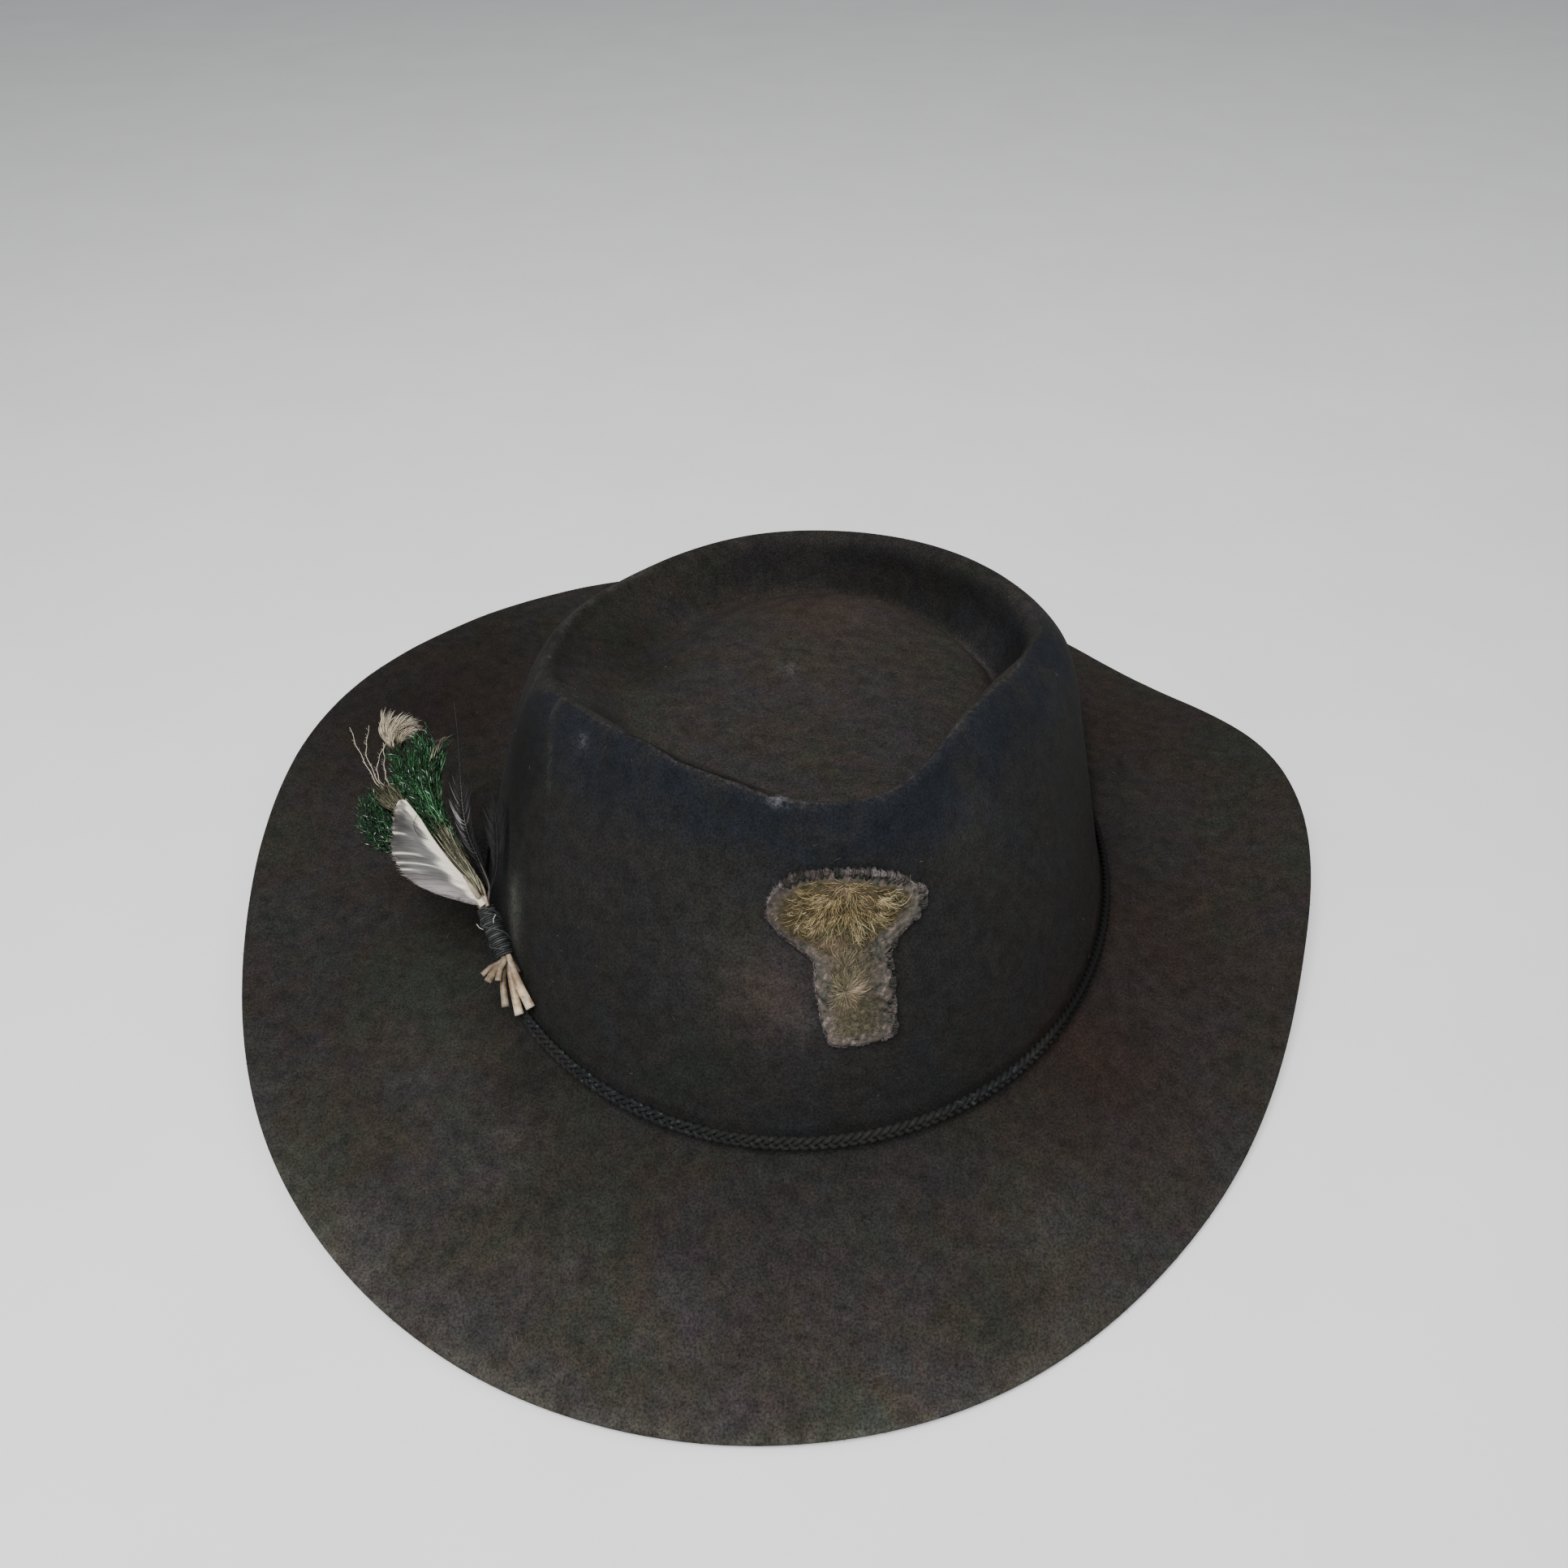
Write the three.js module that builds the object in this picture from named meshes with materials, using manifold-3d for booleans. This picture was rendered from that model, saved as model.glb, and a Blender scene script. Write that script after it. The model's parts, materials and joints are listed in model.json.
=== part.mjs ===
// A worn wide-brim hat of dark wool felt with a telescoped crown, a narrow braid
// round the foot of the crown, a goldwork patch on its front and a small bundle of
// feathers tied to the braid. Millimetres, +Z up, the front of the hat along -Y.
// The hat stands on its brim and the origin is under its middle, on the floor.

import * as THREE from 'three';
import * as BufferGeometryUtils from 'three/addons/utils/BufferGeometryUtils.js';
import Module from 'manifold-3d';

const wasm = await Module();
wasm.setup();

// Driving dimensions of the felt
const FELT_THICKNESS = 2.2;
const HEAD_HALF_WIDTH = 90;
const HEAD_HALF_LENGTH = 108.5;

// The flat of the dish leans: its high side, its slope and the height of its middle
const DISH_MIDDLE_UP = 75;
const DISH_SLOPE = 0.1;
const DISH_HIGH_SIDE = 235;
const AZIMUTH_STEPS = 64;

// Gap kept between neighbouring pieces
const GAP = 0.35;

// Base braid: a twin cord, two rows high
const BRAID_HEIGHT = 3.8;
const BRAID_THICKNESS = 2.2;
const BRAID_WAIST = 0.72;
const BRAID_SIDES = 10;

// Goldwork patch: a cloth backing and a raised field of bullion thread inside it
const BACKING_THICKNESS = 1.2;
const BULLION_THICKNESS = 1;
const BULLION_INSET = 2.8;
const BULLION_ROWS = 12;
const PATCH_COLUMNS = 8;

// Feather bundle: the middle of its thread binding, the way it points, and the way
// that the feathers face. Five quills lie in a circle inside the binding.
const BINDING_MIDDLE = new THREE.Vector3(-77.9, -54.4, 37.6);
const BUNDLE_DIRECTION = new THREE.Vector3(-0.438, 0.764, 0.474);
const BUNDLE_FACE = new THREE.Vector3(0.12, -0.473, 0.873);
const BINDING_LENGTH = 14;
const BINDING_HOLE = 2.65;
const BINDING_WALL = 0.8;
const BINDING_SIDES = 14;
const QUILL_WIDTH = 1.5;
const QUILL_CIRCLE = 1.55;
const QUILL_COUNT = 5;
const FIRST_QUILL_ANGLE = 54;
const FEATHER_SIDES = 8;

function table(names, rows) {
  return rows.map((row) => Object.fromEntries(names.map((name, k) => [name, row[k]])));
}

// The crown, in sections every 30 degrees about the upright axis of the head.
// Azimuth 0 is the right of the picture, 90 the back and 270 the front. Out is the
// distance from the axis and up the height above the floor, both in mm.
const CROWN = table(
  ['azimuth', 'footUp', 'crestOut', 'crestUp', 'shoulder', 'moatOut', 'moatUp', 'plateauOut', 'plateauUp'],
  [
    [10, 14, 68, 88, 10, 60, 62, 54, 69.5],
    [40, 12, 74.5, 83, 7, 66, 58.5, 60, 66.5],
    [70, 9.5, 80.5, 78, 4.5, 73, 56.5, 65.5, 65.5],
    [100, 9, 81.5, 75, 4, 70, 57, 58, 66],
    [130, 11, 74, 76, 4, 57, 62, 43, 68.5],
    [160, 13, 69, 81, 5, 49, 70, 34, 72.5],
    [190, 16, 65, 88, 6.5, 47, 75, 34, 75.5],
    [220, 18, 60.5, 96, 7, 50, 76, 42, 76.5],
    [250, 20, 65.5, 101.5, 5, 56, 75, 48, 76.5],
    [280, 21, 77.5, 103.5, 4, 66, 74, 57, 76],
    [310, 19, 61, 103, 6, 53, 71, 46, 74.5],
    [340, 17, 57.5, 96, 10, 50, 66, 44, 72],
  ],
);

// The brim's edge in the same sections. Bow lifts the middle of the brim above the
// straight line from its root to its edge, and roll lifts it close to the edge.
const BRIM = table(
  ['azimuth', 'edgeOut', 'edgeUp', 'bow', 'roll'],
  [
    [10, 158, 21, -3, -1.5],
    [40, 159, 3.5, 1, 0.5],
    [70, 171, 2.6, 1, 0.5],
    [100, 175, 2.6, 1, 0.5],
    [130, 171, 13, -1, 0],
    [160, 165, 22, -3, -1],
    [190, 159.5, 15, -2, -1],
    [220, 165.5, 5.5, 0, 0],
    [250, 169, 2.6, 0, 0.5],
    [280, 165, 2.6, 0, 1],
    [310, 153, 2.8, 1, 1.5],
    [340, 148, 11, 0, 0.5],
  ],
);

// A column of a table at any azimuth, as a smooth curve that closes on itself
function around(rows, column, azimuth) {
  const position = THREE.MathUtils.euclideanModulo(azimuth - rows[0].azimuth, 360) / 360 * rows.length;
  const k = Math.floor(position);
  const t = position - k;
  const [a, b, c, d] = [-1, 0, 1, 2].map((step) => rows[(k + step + rows.length) % rows.length][column]);
  return b + 0.5 * t * (c - a + t * (2 * a - 5 * b + 4 * c - d + t * (3 * (b - c) + d - a)));
}

function headOval(azimuth) {
  const angle = THREE.MathUtils.degToRad(azimuth);
  return 1 / Math.hypot(Math.cos(angle) / HEAD_HALF_WIDTH, Math.sin(angle) / HEAD_HALF_LENGTH);
}

// The felt's upper face in one section, from the middle of the dish out to the edge
// of the brim. The wall of the crown is the stretch from SHOULDER to FOOT.
const SHOULDER = 7;
const FOOT = 10;
const FOOT_RISE = 5;
function section(azimuth) {
  const crown = (column) => around(CROWN, column, azimuth);
  const brim = (column) => around(BRIM, column, azimuth);
  const mix = THREE.MathUtils.lerp;
  const footOut = headOval(azimuth);
  const footUp = crown('footUp');
  const shoulderOut = crown('crestOut') + crown('shoulder');
  const shoulderUp = crown('crestUp') - 0.55 * crown('shoulder') - 3.5;
  const flatOut = 0.5 * crown('plateauOut');
  const lean = Math.cos(THREE.MathUtils.degToRad(azimuth - DISH_HIGH_SIDE));
  const flatUp = DISH_MIDDLE_UP - 0.8 + DISH_SLOPE * flatOut * lean;
  const rootOut = footOut + 5;
  const rootUp = footUp - 0.3;
  const wall = (share, inward) => [
    mix(footOut, shoulderOut, inward),
    mix(footUp + FOOT_RISE, shoulderUp, share),
  ];
  const brimPoint = (share, lift) => [
    mix(rootOut, brim('edgeOut'), share),
    mix(rootUp, brim('edgeUp'), share) + lift,
  ];
  const points = [
    [0, DISH_MIDDLE_UP],
    [flatOut, flatUp],
    [crown('plateauOut'), crown('plateauUp')],
    [crown('moatOut'), crown('moatUp')],
    [mix(crown('moatOut'), crown('crestOut'), 0.42), mix(crown('moatUp'), crown('crestUp'), 0.5)],
    [crown('crestOut') - 4, crown('crestUp') - 3.4],
    [crown('crestOut'), crown('crestUp')],
    [shoulderOut, shoulderUp],
    wall(0.66, 0.6),
    wall(0.33, 0.27),
    [footOut, footUp + FOOT_RISE],
    [footOut + 1.2, footUp + 1.7],
    [rootOut, rootUp],
    brimPoint(0.45, brim('bow')),
    brimPoint(0.86, brim('roll')),
    [brim('edgeOut'), brim('edgeUp')],
  ];
  const places = points.map(([out, up]) => new THREE.Vector3(out, 0, up));
  return new THREE.CatmullRomCurve3(places, false, 'centripetal');
}
const SECTION_SPANS = 15;
const STEPS_PER_SPAN = [2, 2, 2, 1, 2, 2, 3, 2, 2, 2, 1, 2, 2, 2, 1];

function turned(point, azimuth) {
  return point.clone().applyAxisAngle(new THREE.Vector3(0, 0, 1), THREE.MathUtils.degToRad(azimuth));
}

// The felt's upper face as rings of points, the dish's middle left out
const ringPlaces = STEPS_PER_SPAN.flatMap((steps, span) =>
  Array.from({ length: steps }, (_, k) => (span + (k + 1) / steps) / SECTION_SPANS));
const azimuths = Array.from({ length: AZIMUTH_STEPS }, (_, k) => k * 360 / AZIMUTH_STEPS);
const sections = azimuths.map(section);
const upperRings = ringPlaces.map((place) =>
  azimuths.map((azimuth, k) => turned(sections[k].getPoint(place), azimuth)));

// The direction that the felt faces at each point of a ring
function facing(rings, ring, k) {
  const count = rings[ring].length;
  const across = rings[Math.min(ring + 1, rings.length - 1)][k].clone().sub(rings[Math.max(ring - 1, 0)][k]);
  const along = rings[ring][(k + 1) % count].clone().sub(rings[ring][(k + count - 1) % count]);
  return across.cross(along).normalize();
}
const facings = upperRings.map((points, ring) => points.map((_, k) => facing(upperRings, ring, k)));
const lowerRings = upperRings.map((points, ring) =>
  points.map((point, k) => point.clone().addScaledVector(facings[ring][k], -FELT_THICKNESS)));

// Faces between neighbouring rings of points, each ring running the same way round
function ringFaces(ringCount, count, joined) {
  const faces = [];
  for (let ring = 0; ring < ringCount - (joined ? 0 : 1); ring += 1) {
    const start = ring * count;
    const after = ((ring + 1) % ringCount) * count;
    for (let k = 0; k < count; k += 1) {
      const next = (k + 1) % count;
      faces.push([start + k, after + k, start + next], [start + next, after + k, after + next]);
    }
  }
  return faces;
}

function middleOf(points) {
  return points.reduce((sum, point) => sum.add(point), new THREE.Vector3()).divideScalar(points.length);
}

// One closed body from rings of points, with a fan of faces at each end. The fans
// meet in a given pole or else in the middle of the ring.
function ringsToBody(rings, firstPole, lastPole) {
  const count = rings[0].length;
  const points = rings.flat();
  const faces = ringFaces(rings.length, count, false);
  const first = points.push(firstPole ?? middleOf(rings[0])) - 1;
  const last = points.push(lastPole ?? middleOf(rings.at(-1))) - 1;
  const lastStart = (rings.length - 1) * count;
  for (let k = 0; k < count; k += 1) {
    const next = (k + 1) % count;
    faces.push([first, k, next], [last, lastStart + next, lastStart + k]);
  }
  return toGeometry(points, faces);
}

// One closed body from rings that lead back to the first one
function ringsToLoop(rings) {
  return toGeometry(rings.flat(), ringFaces(rings.length, rings[0].length, true));
}

function toGeometry(points, faces) {
  const geometry = new THREE.BufferGeometry();
  geometry.setAttribute('position', new THREE.Float32BufferAttribute(points.flatMap((p) => p.toArray()), 3));
  geometry.setIndex(faces.flat());
  geometry.computeVertexNormals();
  return geometry;
}

// Several overlapping closed bodies fused into one
function fuse(geometries) {
  const solids = geometries.map((geometry) => {
    const bare = geometry.clone();
    bare.deleteAttribute('normal');
    const merged = BufferGeometryUtils.mergeVertices(bare);
    return new wasm.Manifold(new wasm.Mesh({
      numProp: 3,
      vertProperties: merged.attributes.position.array,
      triVerts: Uint32Array.from(merged.index.array),
    }));
  });
  const mesh = solids.reduce((whole, solid) => whole.add(solid)).getMesh();
  const geometry = new THREE.BufferGeometry();
  geometry.setAttribute('position', new THREE.Float32BufferAttribute(mesh.vertProperties, 3));
  geometry.setIndex(Array.from(mesh.triVerts));
  geometry.computeVertexNormals();
  return geometry;
}

function piece(name, geometry, colour, roughness, metalness) {
  const material = new THREE.MeshStandardMaterial({ color: colour, roughness, metalness });
  const mesh = new THREE.Mesh(geometry, material);
  mesh.name = name;
  return mesh;
}

// Felt body: the upper face, a rounded edge and the lower face, open below
function feltBody() {
  const edge = upperRings.at(-1).map((point, k) => {
    const lower = lowerRings.at(-1)[k];
    const outward = new THREE.Vector3(point.x, point.y, 0).normalize();
    return point.clone().lerp(lower, 0.5).addScaledVector(outward, 0.35 * FELT_THICKNESS);
  });
  const upperPole = new THREE.Vector3(0, 0, DISH_MIDDLE_UP);
  const lowerPole = new THREE.Vector3(0, 0, DISH_MIDDLE_UP - FELT_THICKNESS);
  const rings = [...upperRings, edge, ...lowerRings.toReversed()];
  return ringsToBody(rings, upperPole, lowerPole);
}

// Base braid: a closed cord of two rows that lies on the foot of the crown
function baseBraid() {
  const ring = STEPS_PER_SPAN.slice(0, FOOT).reduce((sum, steps) => sum + steps) - 1;
  const sectionsRound = azimuths.map((_, k) => {
    const seat = upperRings[ring][k];
    const out = facings[ring][k];
    const rise = upperRings[ring - 1][k].clone().sub(seat).normalize();
    const middle = seat.clone().addScaledVector(out, GAP + BRAID_THICKNESS / 2);
    return Array.from({ length: BRAID_SIDES }, (_side, side) => {
      const turn = (side + 0.5) / BRAID_SIDES * 2 * Math.PI;
      const swell = BRAID_WAIST + (1 - BRAID_WAIST) * Math.min(1, 2 * Math.abs(Math.sin(turn)));
      return middle.clone()
        .addScaledVector(out, BRAID_THICKNESS / 2 * swell * Math.cos(turn))
        .addScaledVector(rise, BRAID_HEIGHT / 2 * Math.sin(turn));
    });
  });
  return ringsToLoop(sectionsRound);
}

// The point of the crown's front wall at a given height and a given place sideways
function onWall(sideways, up) {
  let azimuth = 270;
  let point = null;
  for (let pass = 0; pass < 6; pass += 1) {
    const curve = section(azimuth);
    let [high, low] = [SHOULDER / SECTION_SPANS, FOOT / SECTION_SPANS];
    for (let halving = 0; halving < 24; halving += 1) {
      const middle = (high + low) / 2;
      if (curve.getPoint(middle).z > up) high = middle;
      else low = middle;
    }
    point = turned(curve.getPoint(high), azimuth);
    const out = Math.hypot(point.x, point.y);
    azimuth = 270 + THREE.MathUtils.radToDeg(Math.asin(sideways / out));
  }
  return point;
}

// The patch's outline, a cap on a stem: its left and right edges at each height
const PATCH = table(
  ['up', 'left', 'right'],
  [
    [91, 4, 15],
    [89.6, 0, 18.5],
    [87.5, -3, 22],
    [84, -6, 26],
    [80.5, -7.2, 28.2],
    [77.5, -7.2, 28.4],
    [75, -5.4, 27],
    [73, -2, 23.4],
    [71, 2, 20.8],
    [68, 3.4, 20.4],
    [60, 4, 21.4],
    [54.5, 5.6, 22.2],
    [51.5, 7.2, 21.6],
    [49.6, 10.5, 18.5],
  ],
);

function patchEdge(column, up) {
  const above = PATCH.findLastIndex((row) => row.up >= up);
  const [high, low] = [PATCH[Math.max(above, 0)], PATCH[Math.min(above + 1, PATCH.length - 1)]];
  const share = high.up === low.up ? 0 : (high.up - up) / (high.up - low.up);
  return THREE.MathUtils.lerp(high[column], low[column], share);
}

// The patch's edge moved inwards by a fixed distance all round
function insetEdge(column, up) {
  const steps = Array.from({ length: 9 }, (_, k) => k / 4 - 1);
  const inward = column === 'left' ? 1 : -1;
  const reaches = steps.map((step) => {
    const across = BULLION_INSET * Math.sqrt(1 - step * step);
    return inward * patchEdge(column, up + BULLION_INSET * step) + across;
  });
  return inward * Math.max(...reaches);
}

// A thin plate that follows the crown's wall between two distances from it
function wallPlate(rows, near, far) {
  const grid = rows.map(({ up, left, right }) => Array.from({ length: PATCH_COLUMNS + 1 }, (_, k) =>
    onWall(THREE.MathUtils.lerp(left, right, k / PATCH_COLUMNS), up)));
  const loops = grid.map((line, row) => {
    const faces = line.map((point, k) => {
      const [above, below] = [grid[Math.max(row - 1, 0)], grid[Math.min(row + 1, grid.length - 1)]];
      const across = below[k].clone().sub(above[k]);
      const along = line[Math.min(k + 1, PATCH_COLUMNS)].clone().sub(line[Math.max(k - 1, 0)]);
      return across.cross(along).normalize();
    });
    const outer = line.map((point, k) => point.clone().addScaledVector(faces[k], far));
    const inner = line.map((point, k) => point.clone().addScaledVector(faces[k], near));
    return [...outer, ...inner.toReversed()];
  });
  return ringsToBody(loops);
}

function patchBacking() {
  return wallPlate(PATCH, GAP, GAP + BACKING_THICKNESS);
}

function bullionField() {
  const top = PATCH[0].up - BULLION_INSET;
  const bottom = PATCH.at(-1).up + BULLION_INSET;
  const rows = Array.from({ length: BULLION_ROWS }, (_, k) => {
    const up = THREE.MathUtils.lerp(top, bottom, k / (BULLION_ROWS - 1));
    return { up, left: insetEdge('left', up), right: insetEdge('right', up) };
  });
  const near = 2 * GAP + BACKING_THICKNESS;
  return wallPlate(rows, near, near + BULLION_THICKNESS);
}

// The bundle's own directions: along it to the tip, sideways to the crown, and out
const bundleAlong = BUNDLE_DIRECTION.clone().normalize();
const bundleOut = BUNDLE_FACE.clone().projectOnPlane(bundleAlong).normalize();
const bundleSide = bundleAlong.clone().cross(bundleOut);
function inBundle(along, side, out) {
  return BINDING_MIDDLE.clone()
    .addScaledVector(bundleAlong, along)
    .addScaledVector(bundleSide, side)
    .addScaledVector(bundleOut, out);
}

// Thread binding: a short waxed wrap with a hole that the quills pass through. Its
// wall swells towards the middle, and both columns are shares of the whole.
const BINDING_WRAP = table(
  ['halfLength', 'wall'],
  [
    [1, 0],
    [1, 0.35],
    [0.7, 0.8],
    [0, 1],
    [-0.7, 0.8],
    [-1, 0.35],
    [-1, 0],
  ],
);

function threadBinding() {
  const rings = Array.from({ length: BINDING_SIDES }, (_, side) => {
    const turn = side / BINDING_SIDES * 2 * Math.PI;
    return BINDING_WRAP.map(({ halfLength, wall }) => {
      const radius = BINDING_HOLE + wall * BINDING_WALL;
      return inBundle(halfLength * BINDING_LENGTH / 2, radius * Math.cos(turn), radius * Math.sin(turn));
    });
  });
  return ringsToLoop(rings);
}

// The columns of every feather's sections, in the bundle's own directions
const FEATHER_COLUMNS = ['along', 'side', 'out', 'width', 'thick', 'cup'];

// A lock, barb or quill lofted through its sections. Cup bends the section's two
// sides back, away from the face that is seen.
function lock(rows) {
  const middles = rows.map((row) => inBundle(row.along, row.side, row.out));
  const rings = rows.map((row, k) => {
    const [before, after] = [middles[Math.max(k - 1, 0)], middles[Math.min(k + 1, rows.length - 1)]];
    const tangent = after.clone().sub(before).normalize();
    const across = bundleOut.clone().cross(tangent).normalize();
    const face = tangent.clone().cross(across);
    return Array.from({ length: FEATHER_SIDES }, (_, side) => {
      const turn = (side + 0.5) / FEATHER_SIDES * 2 * Math.PI;
      const sideways = Math.cos(turn);
      return middles[k].clone()
        .addScaledVector(across, row.width / 2 * sideways)
        .addScaledVector(face, row.thick / 2 * Math.sin(turn) - row.cup * sideways * sideways);
    });
  });
  return ringsToBody(rings.toReversed());
}

// A feather's quill runs straight through the binding, in its own seat of five round
// the hole. Its root is the sections below the binding, and its first lock carries
// on above it. The other locks grow out of the first one.
function feather(seat, root, locks) {
  const turn = THREE.MathUtils.degToRad(FIRST_QUILL_ANGLE + seat * 360 / QUILL_COUNT);
  const quill = [-1, 1].map((end) => ({
    along: end * (BINDING_LENGTH / 2 + GAP),
    side: QUILL_CIRCLE * Math.cos(turn),
    out: QUILL_CIRCLE * Math.sin(turn),
    width: QUILL_WIDTH,
    thick: QUILL_WIDTH,
    cup: 0,
  }));
  const [first, ...others] = locks.map((rows) => table(FEATHER_COLUMNS, rows));
  return fuse([lock([...table(FEATHER_COLUMNS, root), ...quill, ...first]), ...others.map(lock)]);
}

function whiteFeather() {
  const root = [
    [-13.2, -5.4, 2.4, 2.4, 1.6, 0],
    [-10.6, -3.2, 1.9, 2.2, 1.6, 0],
  ];
  const vane = [
    [11, -3, 2.4, 4.6, 1.2, 0.1],
    [16, -6.4, 3.6, 8.8, 1.1, 0.8],
    [21, -9.2, 4.6, 11, 1.1, 1.6],
    [26, -10.4, 5.2, 11.4, 1.1, 2.2],
    [31, -11, 5.4, 10, 1.1, 2.2],
    [36, -10.6, 5, 7, 1.1, 1.4],
    [40, -9.9, 4.3, 4, 1, 0.6],
    [42.8, -9.3, 3.8, 1.6, 0.8, 0.2],
  ];
  return feather(1, root, [vane]);
}

function largeHerl() {
  const root = [
    [-22.4, 0.9, 1.9, 2.3, 1.7, 0],
    [-15, 0.8, 1.7, 2, 1.6, 0],
  ];
  const body = [
    [13, 1.4, 0.9, 1.8, 1.4, 0],
    [20, 0.2, 0.3, 2.6, 1.6, 0],
    [28, -1.9, 0, 4.4, 2.4, 0],
    [35, -3.2, 0, 6.6, 3.8, 0],
    [42, -3.6, 0.2, 9, 4.8, 0],
    [48, -3, 0.6, 11.4, 5.4, 0],
    [54, -0.8, 0.6, 11.2, 4.6, 0],
    [58.4, 0, 0.4, 6, 2.8, 0],
  ];
  const left = [
    [39, -4.4, 0, 4, 3, 0],
    [45.5, -7.4, 0.4, 4.2, 2.8, 0],
    [51, -9.4, 0.6, 1.6, 1.4, 0],
  ];
  const upperLeft = [
    [45, -4.4, 0.8, 5, 3.4, 0],
    [52, -5.4, 1.4, 4.6, 3, 0],
    [58.2, -6, 1.2, 1.4, 1.2, 0],
  ];
  const top = [
    [49, -0.6, 0.8, 6, 3.4, 0],
    [55, 1.2, 0.8, 4.8, 2.8, 0],
    [61, 2.8, 0.4, 1.4, 1.2, 0],
  ];
  const right = [
    [41, -1, 0.4, 4, 3, 0],
    [48, 1.8, 0.4, 4.6, 3, 0],
    [53.4, 7, 0, 1.6, 1.2, 0],
  ];
  return feather(0, root, [body, left, upperLeft, top, right]);
}

function smallHerl() {
  const root = [
    [-19.4, -4.6, 0.2, 2, 1.6, 0],
    [-13, -2.8, -0.2, 1.8, 1.5, 0],
  ];
  const body = [
    [14, -3.2, -0.6, 1.5, 1.3, 0],
    [21, -6.4, -0.8, 1.8, 1.4, 0],
    [27, -10, -0.8, 3.4, 2.2, 0],
    [32, -13, -0.6, 6.6, 3.4, 0],
    [38, -15.4, -0.4, 8.4, 4, 0],
    [43.5, -16, -0.4, 6.4, 3.2, 0],
    [47.4, -15.6, -0.4, 2.6, 1.8, 0],
  ];
  const low = [
    [30, -12.4, -0.8, 3.4, 2.2, 0],
    [32.6, -15.8, -0.8, 3.4, 2.2, 0],
    [33.4, -19.4, -0.8, 1.4, 1.2, 0],
  ];
  const left = [
    [34, -14.6, -0.6, 4, 2.8, 0],
    [39, -18.4, -0.6, 4, 2.6, 0],
    [43, -21.4, -0.8, 1.4, 1.2, 0],
  ];
  const top = [
    [38, -14.4, -0.4, 4, 3, 0],
    [45, -13.4, -0.6, 3.6, 2.4, 0],
    [49.6, -12.8, -0.8, 1.4, 1.2, 0],
  ];
  return feather(2, root, [body, low, left, top]);
}

function downTuft() {
  const root = [
    [-22.6, -1.9, -0.6, 2.1, 1.6, 0],
    [-15, -1.1, -1, 1.9, 1.6, 0],
  ];
  const body = [
    [16, -0.4, -2.8, 1.2, 1.1, 0],
    [34, -2, -4.2, 1.1, 1, 0],
    [50, -2.6, -4.4, 1.3, 1.1, 0],
    [57, -2.2, -3.6, 2.8, 2, 0],
    [61, -1.4, -2.6, 5, 3.4, 0],
    [65, -0.2, -1.8, 7.4, 4.2, 0],
    [68.4, 0.4, -1.4, 5.4, 3.2, 0],
    [70.4, 0.8, -1.2, 2, 1.6, 0],
  ];
  const left = [
    [60, -2.4, -2.8, 3, 2.2, 0],
    [64.6, -4, -2.2, 3, 2.2, 0],
    [69.2, -5.8, -2, 1.2, 1, 0],
  ];
  return feather(3, root, [body, left]);
}

function darkFeathers() {
  const root = [
    [-12.6, 1.9, -0.1, 1.6, 1.4, 0],
  ];
  const slender = [
    [12, 3.1, 0.2, 1.4, 1.2, 0],
    [19, 3.3, 0.4, 1.6, 1.2, 0],
    [27, 3.3, 0.6, 2.2, 1.2, 0],
    [34, 4, 0.6, 3, 1.2, 0.2],
    [41, 5.6, 0.4, 3.4, 1.1, 0.3],
    [48, 8.4, 0.2, 1.8, 1, 0],
    [57, 11.6, 0, 1, 0.9, 0],
    [65, 14, -0.2, 0.8, 0.8, 0],
  ];
  const broad = [
    [10.5, 2.7, 0.2, 1.3, 1.1, 0],
    [14.5, 6.4, 4, 3.2, 1.2, 0],
    [20, 9.6, 6.2, 4.8, 1.2, 0.3],
    [27, 12, 6.6, 5.2, 1.2, 0.4],
    [33.5, 14, 6.2, 2.4, 1, 0],
  ];
  return feather(4, root, [slender, broad]);
}

const hat = new THREE.Group();
hat.add(
  piece('felt_body', feltBody(), 0x2b2623, 0.95, 0),
  piece('base_braid', baseBraid(), 0x26221f, 0.8, 0),
  piece('patch_backing', patchBacking(), 0x554438, 0.95, 0),
  piece('bullion_field', bullionField(), 0x8f7a45, 0.45, 0.6),
  piece('thread_binding', threadBinding(), 0x2a2a2d, 0.7, 0),
  piece('white_feather', whiteFeather(), 0xc4bcb4, 0.7, 0),
  piece('large_herl', largeHerl(), 0x1c5a3c, 0.5, 0),
  piece('small_herl', smallHerl(), 0x1a5238, 0.5, 0),
  piece('down_tuft', downTuft(), 0xa89070, 0.9, 0),
  piece('dark_feathers', darkFeathers(), 0x3a3836, 0.7, 0),
);

// The hat stands on its brim with the origin under the middle of its box
const box = new THREE.Box3().setFromObject(hat);
hat.position.set(-(box.min.x + box.max.x) / 2, -(box.min.y + box.max.y) / 2, -box.min.z);

export default hat;
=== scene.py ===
# A worn wide-brim hat of dark wool felt. Metres, +Z up, the hat's front along -Y.
import json
import math
import random
import bpy
import numpy as np
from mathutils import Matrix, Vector, noise
from mathutils.bvhtree import BVHTree

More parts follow.
